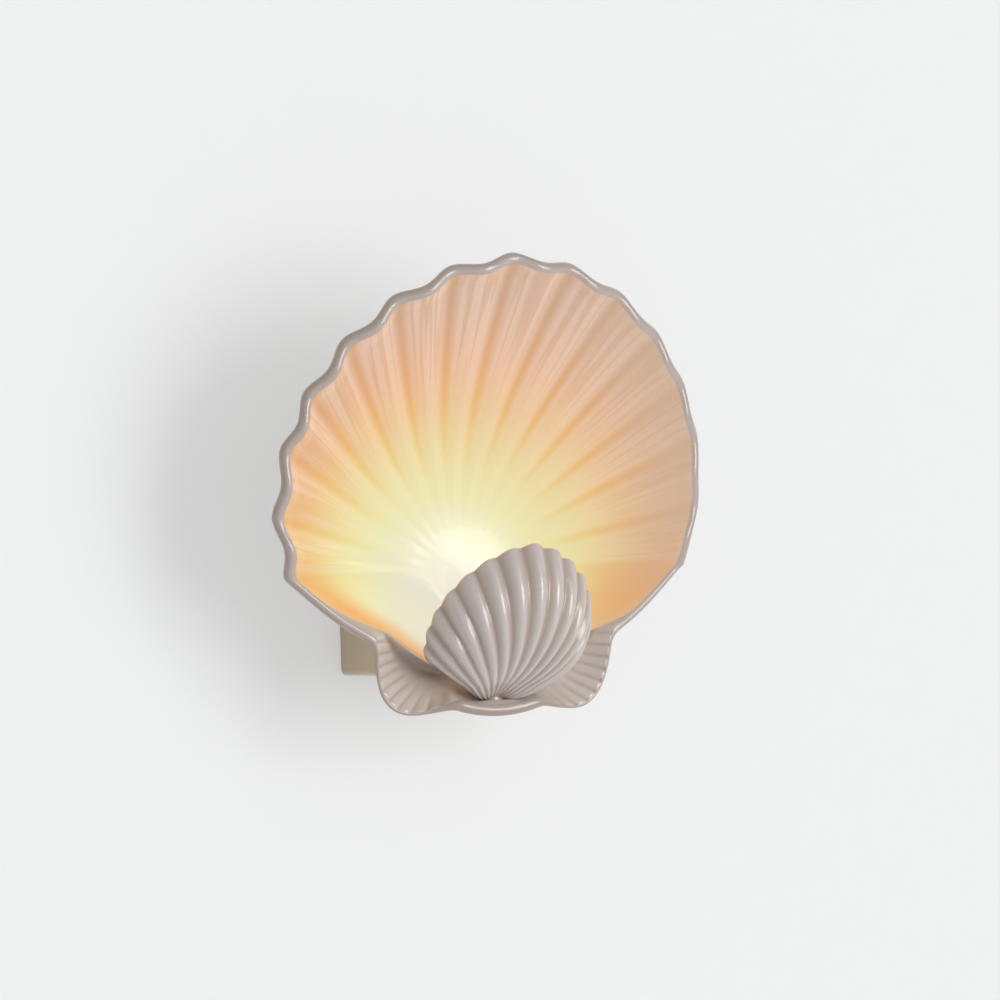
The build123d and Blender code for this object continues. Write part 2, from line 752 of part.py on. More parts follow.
with BuildPart() as terminal_clamps:
    with BuildSketch(level(block_bottom + 1)):
        with Locations([(place, -clamp_depth) for place in pole_places]):
            Circle(clamp_radius)
            Circle(clamp_radius - clamp_wall, mode=Mode.SUBTRACT)
    extrude(amount=block_height - 2)
    with BuildSketch(forward(clamp_depth)):
        with Locations([(place, block_middle + way * block_height / 4) for place in pole_places for way in (-1, 1)]):
            Circle(m3_radius + thread_fit)
    extrude(amount=block_depth, mode=Mode.SUBTRACT)

with BuildPart() as terminal_screws:
    with BuildSketch(forward(clamp_depth + lead_radius + thread_fit)):
        with Locations([(place, block_middle + way * block_height / 4) for place in pole_places for way in (-1, 1)]):
            Circle(m3_radius)
    extrude(amount=block_depth / 2 - 2 * lead_radius)

with BuildPart() as block_screw:
    with BuildSketch(forward(sheet + block_depth)):
        with Locations((pole_pitch / 2, block_middle)):
            Circle(m3_head_radius - screw_clearance)
    extrude(amount=m3_head_height)
    with BuildSketch(forward(sheet + block_depth)):
        with Locations((pole_pitch / 2, block_middle)):
            Circle(m3_radius)
    extrude(amount=-(sheet + block_depth))

lead_top = block_bottom + block_height / 4
lead_end = lamp_depth - holder_radius / 2 - 1


def lead(points, radii):
    """Insulated lead along straight runs joined by tangent arcs."""
    with BuildPart() as part:
        with BuildLine() as route:
            FilletPolyline(*points, radius=radii)
        with BuildSketch(Plane(origin=route.line @ 0, z_dir=route.line % 0)):
            Circle(lead_radius)
        sweep()
    return part


def lamp_lead(pole, side):
    """Lead from a pole of the terminal block through the nipple to the lamp holder."""
    across = side * lead_spacing / 2
    turn = clamp_depth + lead_bend
    points = [
        (pole, -clamp_depth, lead_top),
        (pole, -clamp_depth, 0),
        (across, -turn, nipple_height),
        (across, -lead_end, nipple_height),
    ]
    return lead(points, [2 * lead_bend, lead_bend])


lead_live = lamp_lead(-pole_pitch, -1)
lead_neutral = lamp_lead(0, 1)
lug_end = -2 * m4_head_radius - lug_length
lug_axis = sheet + lug_barrel
earth_lead = lead(
    [
        (earth_screw_place, -lug_axis, lug_end),
        (earth_screw_place, -lug_axis, lug_end - loop_drop),
        (earth_screw_place - loop_side, -lug_axis - loop_drop, lug_end - loop_drop - loop_side),
        (pole_pitch, -lug_axis - loop_drop, lug_end - loop_side / 2),
        (pole_pitch, -clamp_depth, 0),
        (pole_pitch, -clamp_depth, lead_top),
    ],
    [loop_bend, loop_bend, loop_bend, lead_bend - 1],
)


# ---------------------------------------------------------------- finished pieces
pieces = {
    "shell_bowl": shell_bowl,
    "small_shell": small_shell,
    "shell_insert": shell_insert,
    "shell_screw": shell_screw,
    "back_box": back_box,
    "wall_gasket": wall_gasket,
    "seat_gasket": seat_gasket,
    "wall_bracket": wall_bracket,
    "cable_grommet": cable_grommet,
    "side_screws": side_screws,
    "earth_lug": earth_lug,
    "earth_screw": earth_screw,
    "threaded_nipple": threaded_nipple,
    "rear_washer": rear_washer,
    "rear_nut": rear_nut,
    "boss_washer": boss_washer,
    "lock_washer": lock_washer,
    "front_nut": front_nut,
    "nipple_bushes": nipple_bushes,
    "holder_bracket": holder_bracket,
    "lamp_holder": lamp_holder,
    "holder_contacts": holder_contacts,
    "holder_screws": holder_screws,
    "holder_nuts": holder_nuts,
    "bulb_base": bulb_base,
    "bulb_pins": bulb_pins,
    "bulb_glass": bulb_glass,
    "light_stick": light_stick,
    "terminal_block": terminal_block,
    "terminal_clamps": terminal_clamps,
    "terminal_screws": terminal_screws,
    "block_screw": block_screw,
    "lead_live": lead_live,
    "lead_neutral": lead_neutral,
    "earth_lead": earth_lead,
}
os.makedirs("parts", exist_ok=True)
for name, piece in pieces.items():
    piece.part.label = name
    export_step(piece.part, f"parts/{name}.step")
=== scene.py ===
"""Ceramic wall light: a fluted scallop bowl with a small scallop in front of its lamp.

The two shells are worked out with numpy as smooth closed surfaces and stand for their CAD nodes.
Every other CAD node keeps its shape and gets a finish. Lengths in the classes are millimetres, and
become metres when a mesh is made. X is to the right, -Y towards the room, Z up.
"""

import json
import logging
import math
from dataclasses import dataclass
from enum import Enum
from typing import Any, Sequence

import bpy
import numpy as np
from mathutils import Matrix, Vector

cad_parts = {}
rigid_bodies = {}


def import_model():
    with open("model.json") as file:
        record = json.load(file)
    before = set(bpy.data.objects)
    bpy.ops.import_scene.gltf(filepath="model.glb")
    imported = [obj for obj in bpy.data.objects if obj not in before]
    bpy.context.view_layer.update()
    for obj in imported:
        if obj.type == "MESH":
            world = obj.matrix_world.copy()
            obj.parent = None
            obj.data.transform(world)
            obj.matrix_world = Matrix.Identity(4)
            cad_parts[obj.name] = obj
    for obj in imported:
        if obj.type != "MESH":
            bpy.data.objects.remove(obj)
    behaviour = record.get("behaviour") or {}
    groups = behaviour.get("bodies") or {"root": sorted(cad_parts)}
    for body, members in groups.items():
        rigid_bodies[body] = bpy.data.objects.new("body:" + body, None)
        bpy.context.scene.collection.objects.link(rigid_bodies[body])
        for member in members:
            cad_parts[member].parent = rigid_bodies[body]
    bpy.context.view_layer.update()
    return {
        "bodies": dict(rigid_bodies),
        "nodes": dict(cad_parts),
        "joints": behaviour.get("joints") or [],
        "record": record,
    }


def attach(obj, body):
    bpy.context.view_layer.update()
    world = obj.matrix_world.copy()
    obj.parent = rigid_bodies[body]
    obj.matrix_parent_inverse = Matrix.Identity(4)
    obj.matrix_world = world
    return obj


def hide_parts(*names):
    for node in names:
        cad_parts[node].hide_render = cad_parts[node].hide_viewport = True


LOG = logging.getLogger("wall_light")
MM = 0.001
Colour = tuple[float, float, float]
Array = np.ndarray
Span = tuple[float, float]
Window = tuple[float, float, float, float]
BLACK: Colour = (0.0, 0.0, 0.0)


def shade(red: int, green: int, blue: int) -> Colour:
    """Linear colour of a display colour.

    It is c/12.92, or ((c + 0.055)/1.055)^2.4 where c is above 0.04045.

    Args:
        red, green, blue: the display colour, from 0 to 255.

    Returns:
        The linear colour, from 0 to 1.
    """
    values = np.array([red, green, blue]) / 255
    linear = np.where(values <= 0.04045, values / 12.92, ((values + 0.055) / 1.055) ** 2.4)
    return tuple(float(v) for v in linear)


def between(first: Any, second: Any, share: Any) -> Any:
    """Value that goes from first to second as share goes from 0 to 1."""
    return first + (second - first) * share


def smooth(values: Array, low: float, high: float) -> Array:
    """Smooth step 3t^2 - 2t^3 with t = (value - low)/(high - low), held between 0 and 1."""
    t = np.clip((values - low) / (high - low), 0, 1)
    return t * t * (3 - 2 * t)


def window(values: Array, span: Window) -> Array:
    """Smooth step up over the first two numbers of the span, times one down over the last two."""
    return smooth(values, *span[:2]) * (1 - smooth(values, *span[2:]))


def bezier(a: Array, b: Array, c: Array, d: Array, t: Array) -> Array:
    """Cubic curves (1-t)^3 a + 3(1-t)^2 t b + 3(1-t) t^2 c + t^3 d.

    Args:
        a, b, c, d: control points, one row of two numbers for each curve.
        t: parameters, the same for all curves.

    Returns:
        Array of curves by parameters by two.
    """
    t = t[None, :, None]
    a, b, c, d = (p[:, None, :] for p in (a, b, c, d))
    return (1 - t) ** 3 * a + 3 * (1 - t) ** 2 * t * b + 3 * (1 - t) * t**2 * c + t**3 * d


def stack(first: Any, second: Any) -> Array:
    """Two columns as one array of points."""
    return np.stack(np.broadcast_arrays(first, second), axis=-1).astype(float)


def rolled(first: Array, second: Array, push: Array, rows: int) -> Array:
    """Half turns middle + half cos t + push sin t, with t from 0 to pi without its ends.

    Args:
        first, second: points that each turn joins, whose middle and half distance it takes.
        push: how far each turn bulges, as columns by one by two.
        rows: points on each turn.

    Returns:
        Array of columns by rows by two.
    """
    turn = np.linspace(0, math.pi, rows + 2)[None, 1:-1, None]
    middle = (0.5 * (first + second))[:, None]
    half = (0.5 * (first - second))[:, None]
    return middle + half * np.cos(turn) + push * np.sin(turn)


# ---------------------------------------------------------------- shader helpers
class Value:
    """One number socket of a node tree, on which arithmetic adds Math nodes."""

    def __init__(self, finish: "Shader", socket: Any) -> None:
        """Keeps the socket and the shader that it belongs to."""
        self.finish = finish
        self.socket = socket

    def _math(self, operation: str, *values: Any) -> "Value":
        """Math node on these values, in their order."""
        return self.finish.node("ShaderNodeMath", {"operation": operation}, dict(enumerate(values)))

    def __add__(self, other: Any) -> "Value":
        """Sum."""
        return self._math("ADD", self, other)

    def __sub__(self, other: Any) -> "Value":
        """Difference."""
        return self._math("SUBTRACT", self, other)

    def __rsub__(self, other: Any) -> "Value":
        """Number minus this value."""
        return self._math("SUBTRACT", other, self)

    def __mul__(self, other: Any) -> "Value":
        """Product."""
        return self._math("MULTIPLY", self, other)

    def fract(self) -> "Value":
        """Part after the point."""
        return self._math("FRACT", self)

    def absolute(self) -> "Value":
        """Size without its sign."""
        return self._math("ABSOLUTE", self)

    def step(self, low: float, high: float) -> "Value":
        """Smooth step from 0 at low to 1 at high."""
        return self.finish.node(
            "ShaderNodeMapRange", {"interpolation_type": "SMOOTHSTEP"}, {0: self, 1: low, 2: high}
        )


class Shader:
    """A material with one Principled shader, and calls that add nodes to it."""

    def __init__(self, name: str) -> None:
        """Makes the material.

        Args:
            name: its name.
        """
        self.material = bpy.data.materials.new(name)
        self.material.use_nodes = True
        self.tree = self.material.node_tree
        self.tree.nodes.clear()
        self.body = self.tree.nodes.new("ShaderNodeBsdfPrincipled")
        self.output = self.tree.nodes.new("ShaderNodeOutputMaterial")
        self.tree.links.new(self.body.outputs[0], self.output.inputs[0])

    def node(self, kind: str, settings: dict, sockets: dict, output: Any = 0) -> Value:
        """Adds any node.

        Args:
            kind: the node's type.
            settings: its settings, set first; "stops" gives a ramp's (place, colour) pairs.
            sockets: input index or name to a number, a colour or a Value.
            output: index or name of the output that is wanted.

        Returns:
            The output as a Value.
        """
        node = self.tree.nodes.new(kind)
        for key, setting in settings.items():
            if key == "stops":
                ramp = node.color_ramp.elements
                while len(ramp) < len(setting):
                    ramp.new(0.5)
                for element, (place, colour) in zip(ramp, setting):
                    element.position = place
                    element.color = (*colour, 1)
            else:
                setattr(node, key, setting)
        for key, value in sockets.items():
            self.feed(node.inputs[key], value)
        return Value(self, node.outputs[output])

    def feed(self, socket: Any, value: Any) -> None:
        """Links a Value to a socket, or sets a number or colour on it.

        Args:
            socket: the socket.
            value: what it gets.
        """
        if isinstance(value, Value):
            self.tree.links.new(value.socket, socket)
        elif isinstance(value, tuple) and len(value) == 3 and socket.type == "RGBA":
            socket.default_value = (*value, 1)
        else:
            socket.default_value = value

    def set(self, **sockets: Any) -> None:
        """Sets the Principled shader's sockets; an underscore stands for a space."""
        for key, value in sockets.items():
            self.feed(self.body.inputs[key.replace("_", " ")], value)

    def blend(self, factor: Any, first: Any, second: Any) -> Value:
        """Mix of two colours."""
        settings = {"data_type": "RGBA", "blend_type": "MIX", "clamp_factor": True}
        return self.node("ShaderNodeMix", settings, {0: factor, 6: first, 7: second}, 2)

    def attribute(self, name: str) -> Value:
        """Number kept on the mesh under that name."""
        return self.node("ShaderNodeAttribute", {"attribute_name": name}, {}, "Fac")

    def place(self) -> Value:
        """Object coordinates, in metres."""
        return self.node("ShaderNodeTexCoord", {}, {}, "Object")

    def height(self) -> Value:
        """Height in the object, in metres."""
        return self.node("ShaderNodeSeparateXYZ", {}, {0: self.place()}, 2)

    def noise(self, where: Value, scale: float, detail: float) -> Value:
        """Noise from 0 to 1 at a scale in turns per unit of the coordinates."""
        sockets = {"Vector": where, "Scale": scale, "Detail": detail}
        return self.node("ShaderNodeTexNoise", {}, sockets)

    def bump(self, height: Value, distance: float) -> None:
        """Bump from a height between 0 and 1, distance metres deep."""
        sockets = {"Height": height, "Distance": distance, "Strength": 1.0}
        self.set(Normal=self.node("ShaderNodeBump", {}, sockets))


# ---------------------------------------------------------------- finishes
@dataclass(frozen=True)
class Glaze:
    """Glazed ceramic: an uneven glassy coat over a pale body.

    Scales are in turns per metre, and wave is the depth of its slow waves in metres.
    """

    name: str
    colour: Colour = (0.49, 0.42, 0.395)
    pool: Colour = (0.41, 0.325, 0.27)
    roughness: float = 0.30
    wave: float = 0.00012
    wave_scale: float = 16.0
    drift_scale: float = 14.0
    drift_share: float = 0.35
    sheen_scale: float = 30.0
    sheen_spread: float = 0.10
    coat: float = 0.8
    coat_roughness: float = 0.04
    index: float = 1.5

    def base(self, shader: Shader) -> Value:
        """Colour that drifts a little over the surface, as a fired glaze does."""
        drift = shader.noise(shader.place(), self.drift_scale, 1.0).step(0.2, 0.9)
        return shader.blend(drift * self.drift_share, self.colour, self.pool)

    def gloss(self, shader: Shader, coat: Any) -> None:
        """Coat over a gloss that varies a little.

        Args:
            shader: the material's shader.
            coat: weight of the coat.
        """
        sheen = shader.noise(shader.place(), self.sheen_scale, 0.0) * self.sheen_spread
        shader.set(Roughness=sheen + (self.roughness - self.sheen_spread / 2), IOR=self.index)
        shader.set(Coat_Weight=coat, Coat_Roughness=self.coat_roughness, Coat_IOR=self.index)

    def waves(self, shader: Shader) -> None:
        """Slow waves of the glaze, as a bump."""
        shader.bump(shader.noise(shader.place(), self.wave_scale, 0.0), self.wave)

    def make(self) -> bpy.types.Material:
        """Plain glazed material.

        Returns:
            The material.
        """
        shader = Shader(self.name)
        shader.set(Base_Color=self.base(shader))
        self.gloss(shader, self.coat)
        self.waves(shader)
        return shader.material


@dataclass(frozen=True)
class LitGlaze(Glaze):
    """Glaze of the bowl, with the light of its lamp painted on its inside as a glow.

    The mesh carries these numbers: lamp, the distance to the middle of the painted glow in units
    of 200 mm; inside, 1 where the bowl has the painted glow; flute, the place across the flutes,
    whole in their grooves; share, the place from pole to lip; warm, 1 where the painted glow
    turns orange; dull, 1 where it fades; ear, 1 where the ears are painted paler, as if lit
    more; rib, 1 where shade is painted in the grooves of the ears and under the ridge; edge, 1
    where shade is painted behind the lip.
    """

    # painted glow of the lamp's light on the flutes' crests, by the distance from its middle
    crests: tuple = (
        (0.18, (243, 241, 222)),
        (0.25, (243, 242, 205)),
        (0.34, (243, 237, 182)),
        (0.44, (243, 224, 168)),
        (0.55, (243, 206, 160)),
        (0.67, (241, 199, 170)),
        (0.85, (230, 197, 177)),
    )
    # painted glow in the flutes' grooves, darker and more orange: painted shade within the glow
    grooves: tuple = (
        (0.18, (243, 240, 214)),
        (0.25, (243, 241, 195)),
        (0.34, (243, 232, 166)),
        (0.44, (242, 212, 138)),
        (0.55, (241, 188, 118)),
        (0.67, (230, 172, 120)),
        (0.85, (208, 166, 134)),
    )
    # painted glow where the lamp's light turns orange
    ember: Colour = shade(243, 165, 92)
    # painted shade in the grooves of the ears' ribs and under the ridge
    rib_shadow: Colour = (0.24, 0.15, 0.085)
    # painted shade on the outer side of the lip
    edge_colour: Colour = (0.33, 0.245, 0.185)
    # colour where the painted glow fades out
    dull_colour: Colour = shade(210, 180, 152)
    # ears painted paler, as if lit more
    pale_glaze: Colour = (0.66, 0.58, 0.53)
    # share of the painted glow given as emission, and share kept in the base colour
    own_light: float = 0.745
    lamp_share: float = 0.19
    ear_share: float = 0.8
    rib_share: float = 0.4
    edge_share: float = 0.75
    streak_scale: Span = (4.5, 1.1)
    streak_width: float = 0.09
    streak_share: float = 0.6
    streak_depth: float = 0.0003
    coat_loss: float = 0.55

    def plain(self, shader: Shader) -> Value:
        """Glaze with painted light: paler ears, shade in their grooves, under the ridge and behind
        the lip.

        Args:
            shader: the material's shader.

        Returns:
            Its colour.
        """
        plain = self.base(shader)
        # ears painted paler, as if lit more; shade painted in their grooves, under the ridge and
        # behind the lip
        for name, share, colour in (
            ("ear", self.ear_share, self.pale_glaze),
            ("rib", self.rib_share, self.rib_shadow),
            ("edge", self.edge_share, self.edge_colour),
        ):
            plain = shader.blend(shader.attribute(name) * share, plain, colour)
        return plain

    def glow(self, shader: Shader, inside: Value) -> tuple[Value, Value]:
        """Painted light inside the bowl, darker in the flutes' grooves as painted shade.

        Args:
            shader: the material's shader.
            inside: 1 where the bowl glows.

        Returns:
            Its colour, and a value that is 1 in the fine lines along the flutes' crests.
        """
        lamp, flute, share = (shader.attribute(name) for name in ("lamp", "flute", "share"))
        crest, groove = (
            shader.node("ShaderNodeValToRGB", {"stops": stops}, {0: lamp})
            for stops in ([(p, shade(*c)) for p, c in ramp] for ramp in (self.crests, self.grooves))
        )
        off_crest = (flute.fract() - 0.5).absolute() * 2
        across, along = self.streak_scale
        where = shader.node("ShaderNodeCombineXYZ", {}, {0: flute * across, 1: share * along})
        off_line = (shader.noise(where, 1.0, 1.0) - 0.5).absolute().step(0.0, self.streak_width)
        crest_top = (1 - off_crest).step(0.15, 0.5) * share.step(0.45, 0.8)
        lines = (1 - off_line) * crest_top * inside
        # painted shade: the flutes' grooves take the darker groove glow
        valley_shade = off_crest.step(0.55, 1.0) * share.step(0.22, 0.55)
        glow = shader.blend(valley_shade, crest, groove)
        glow = shader.blend(lines * self.streak_share, glow, groove)
        glow = shader.blend(shader.attribute("dull"), glow, self.dull_colour)
        return shader.blend(shader.attribute("warm"), glow, self.ember), lines

    def make(self) -> bpy.types.Material:
        """Glaze outside, and inside a painted glow that follows the distance to its middle.

        Returns:
            The material.
        """
        shader = Shader(self.name)
        inside = shader.attribute("inside")
        glow, lines = self.glow(shader, inside)
        # the painted glow, part in the base colour and the rest as emission
        dimmed = shader.blend(1 - self.lamp_share, glow, BLACK)
        shader.set(Base_Color=shader.blend(inside, self.plain(shader), dimmed))
        shader.set(Emission_Color=shader.blend(inside * self.own_light, BLACK, glow))
        shader.set(Emission_Strength=1.0)
        self.gloss(shader, self.coat - inside * self.coat_loss)
        shader.bump(1 - lines, self.streak_depth)
        return shader.material


@dataclass(frozen=True)
class RibGlaze(Glaze):
    """Glaze of the small shell: browner between the ribs, pooled and painted shade, and a painted
    glow at its thin rim.
    """

    # painted glow of the lamp's light through the thin rim
    rim_glow: Colour = shade(206, 118, 62)
    # pooled glaze, darker too as painted shade in the grooves
    groove_colour: Colour = (0.33, 0.235, 0.155)
    groove_share: float = 0.62

    def make(self) -> bpy.types.Material:
        """Glaze pooled and painted shade in the grooves, and light painted at the rim as a glow.

        Returns:
            The material.
        """
        shader = Shader(self.name)
        pooled_and_shaded = shader.attribute("groove") * self.groove_share
        shader.set(Base_Color=shader.blend(pooled_and_shaded, self.base(shader), self.groove_colour))
        rim = shader.attribute("rim")
        shader.set(Emission_Color=shader.blend(rim, BLACK, self.rim_glow), Emission_Strength=1.0)
        self.gloss(shader, self.coat)
        self.waves(shader)
        return shader.material


@dataclass(frozen=True)
class Moulded:
    """Moulded plastic, rubber, foam or unglazed ceramic, with a grain of a depth in metres."""

    name: str
    colour: Colour
    roughness: float = 0.5
    grain: float = 700.0
    depth: float = 0.00004
    grain_spread: float = 0.15
    grain_middle: float = 0.07
    tone_scale: float = 80.0
    tone_start: float = 0.3
    tone_share: float = 0.6
    tone_spread: float = 0.0
    darkest: float = 0.8
    metallic: float = 0.0

    def make(self) -> bpy.types.Material:
        """Surface whose roughness varies with its grain, and whose tone varies slowly.

        Returns:
            The material.
        """
        shader = Shader(self.name)
        where = shader.place()
        grain = shader.noise(where, self.grain, 3.0)
        tone = shader.noise(where, self.tone_scale, 2.0).step(self.tone_start, 0.8)
        darker = tuple(self.darkest * c for c in self.colour)
        shader.set(Base_Color=shader.blend(tone * self.tone_share, self.colour, darker))
        rough = grain * self.grain_spread + tone * self.tone_spread
        shader.set(Roughness=rough + (self.roughness - self.grain_middle), Metallic=self.metallic)
        shader.bump(grain, self.depth)
        return shader.material


@dataclass(frozen=True)
class Metal(Moulded):
    """Plated or bare metal with fine drawn marks."""

    roughness: float = 0.3
    grain: float = 900.0
    depth: float = 0.00002
    grain_spread: float = 0.16
    grain_middle: float = 0.1
    tone_scale: float = 120.0
    tone_start: float = 0.4
    tone_spread: float = 0.12
    darkest: float = 0.72
    metallic: float = 1.0


@dataclass(frozen=True)
class BulbGlass:
    """Glass dome of the capsule bulb, lit from within."""

    name: str
    colour: Colour = (1.0, 0.97, 0.90)
    glow: Colour = (1.0, 0.86, 0.58)
    strength: float = 0.7
    clearness: float = 0.85
    bloom_drop: float = 0.002
    bloom_scale: float = 90.0

    def make(self) -> bpy.types.Material:
        """Clear glass with the warm bloom of the lit stick in it, brightest by its middle.

        Returns:
            The material.
        """
        shader = Shader(self.name)
        away = ((shader.height() + self.bloom_drop) * self.bloom_scale).absolute()
        bloom = (1 - away.step(0.3, 1.2)) * 0.5 + 0.25
        shader.set(Base_Color=self.colour, Roughness=0.06, IOR=1.46)
        shader.set(Transmission_Weight=self.clearness, Emission_Strength=self.strength)
        shader.set(Emission_Color=shader.blend(bloom, BLACK, self.glow))
        return shader.material


@dataclass(frozen=True)
class LitStick:
    """Lit stick in the bulb, with spots at a pitch in turns per metre."""

    name: str
    colour: Colour = (0.9, 0.8, 0.5)
    glow: Colour = (1.0, 0.84, 0.52)
    gap_glow: Colour = (1.0, 0.7, 0.3)
    strength: float = 1.3
    pitch: float = 260.0

    def make(self) -> bpy.types.Material:
        """Even warm light with small bright spots along the stick.

        Returns:
            The material.
        """
        shader = Shader(self.name)
        gaps = ((shader.height() * self.pitch).fract() - 0.5).absolute().step(0.1, 0.5)
        shader.set(Base_Color=self.colour, Roughness=0.5, Emission_Strength=self.strength)
        shader.set(Emission_Color=shader.blend(gaps * 0.4, self.glow, self.gap_glow))
        return shader.material


class Finish(Enum):
    """Finishes of the fittings, by the record's material slots."""

    # box glazed darker and browner than the shell: painted shade of the shell's shadow on it
    box_glaze = Glaze("box_glaze", (0.52, 0.38, 0.20), (0.44, 0.31, 0.15), 0.36)
    foam = Moulded("foam", (0.045, 0.045, 0.045), 0.9, 1500.0, 0.0002)
    silicone = Moulded("silicone", (0.62, 0.60, 0.55), 0.45)
    zinc_steel = Metal("zinc_steel", (0.62, 0.63, 0.65), 0.32)
    screw_steel = Metal("screw_steel", (0.55, 0.55, 0.57), 0.26)
    brass = Metal("brass", (0.72, 0.50, 0.20), 0.28)
    nipple_brass = Metal("nipple_brass", (0.68, 0.47, 0.19), 0.32)
    grommet_rubber = Moulded("grommet_rubber", (0.03, 0.03, 0.03), 0.6)
    bush_plastic = Moulded("bush_plastic", (0.78, 0.78, 0.75), 0.4)
    holder_ceramic = Moulded("holder_ceramic", (0.76, 0.73, 0.67), 0.55, 1100.0, 0.00006)
    bulb_ceramic = Moulded("bulb_ceramic", (0.82, 0.80, 0.76), 0.4, 1400.0, 0.00002)
    bulb_glass = BulbGlass("bulb_glass")
    light = LitStick("light")
    block_plastic = Moulded("block_plastic", (0.72, 0.72, 0.69), 0.4)
    lead_brown = Moulded("lead_brown", (0.06, 0.022, 0.010), 0.4)
    lead_blue = Moulded("lead_blue", (0.02, 0.06, 0.28), 0.4)
    lead_green = Moulded("lead_green", (0.12, 0.34, 0.03), 0.4)


# ---------------------------------------------------------------- meshes
def fan_of(pole: int, first: Array, second: Array) -> Array:
    """Triangles from one vertex to a row of edges."""
    return np.stack([np.full(len(first), pole), first, second], axis=-1)


def grid_faces(columns: int, rows: int, start: int = 0) -> list[Array]:
    """Faces of a grid of vertices whose last column joins the first, with its two poles after it.

    Args:
        columns, rows: the grid's size.
        start: number of its first vertex.

    Returns:
        Its quads, and the triangles round the first pole and round the second.
    """
    count = columns * rows
    index = start + np.arange(count).reshape(columns, rows)
    after = np.roll(index, -1, axis=0)
    corners = [index[:, :-1], index[:, 1:], after[:, 1:], after[:, :-1]]
    quads = np.stack(corners, axis=-1).reshape(-1, 4)
    tips = fan_of(start + count, index[:, 0], after[:, 0])
    toes = fan_of(start + count + 1, after[:, -1], index[:, -1])
    return [quads, tips, toes]


def grid_mesh(name: str, points: Array, tip: Array, toe: Array) -> bpy.types.Mesh:
    """Closed mesh of columns that run from one pole to the other.

    Args:
        name: the mesh's name.
        points: array of columns by rows by three, in millimetres; the last column joins the first.
        tip: pole before the first row.
        toe: pole after the last row.

    Returns:
        Smooth shaded mesh in metres, whose vertices are the grid's, then tip, then toe.
    """
    vertices = np.concatenate([points.reshape(-1, 3), tip[None], toe[None]]) * MM
    return face_mesh(name, vertices, grid_faces(*points.shape[:2]))


def face_mesh(name: str, vertices: Array, faces: Sequence[Array]) -> bpy.types.Mesh:
    """Smooth shaded mesh.

    Args:
        name: the mesh's name.
        vertices: places of the vertices, in metres.
        faces: arrays of vertex numbers, with a row for each face and one corner count each.

    Returns:
        The mesh.
    """
    mesh = bpy.data.meshes.new(name)
    corners = np.concatenate([f.reshape(-1) for f in faces]).astype(np.int32)
    sizes = np.concatenate([np.full(len(f), f.shape[1]) for f in faces])
    starts = np.concatenate([[0], np.cumsum(sizes)[:-1]]).astype(np.int32)
    mesh.vertices.add(len(vertices))
    mesh.vertices.foreach_set("co", vertices.astype(np.float32).ravel())
    mesh.loops.add(len(corners))
    mesh.loops.foreach_set("vertex_index", corners)
    mesh.polygons.add(len(starts))
    mesh.polygons.foreach_set("loop_start", starts)
    mesh.update(calc_edges=True)
    mesh.validate()
    mesh.polygons.foreach_set("use_smooth", np.ones(len(starts), bool))
    return mesh


def keep(mesh: bpy.types.Mesh, name: str, values: Array) -> None:
    """Keeps one number for each vertex under that name."""
    data = mesh.attributes.new(name, "FLOAT", "POINT").data
    data.foreach_set("value", values.astype(np.float32).ravel())


def add(name: str, data: Any) -> bpy.types.Object:
    """New object in the scene.

    Args:
        name: the object's name.
        data: its mesh, camera or lamp.

    Returns:
        The object.
    """
    made = bpy.data.objects.new(name, data)
    bpy.context.scene.collection.objects.link(made)
    return made


def piece(
    name: str, mesh: bpy.types.Mesh, body: str, material: bpy.types.Material
) -> bpy.types.Object:
    """Object at the origin that rides on a body.

    Args:
        name: the object's name.
        mesh: its mesh.
        body: name of the body.
        material: its material.

    Returns:
        The object.
    """
    made = add(name, mesh)
    mesh.materials.append(material)
    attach(made, body)
    LOG.info("%s: %d faces", name, len(mesh.polygons))
    return made


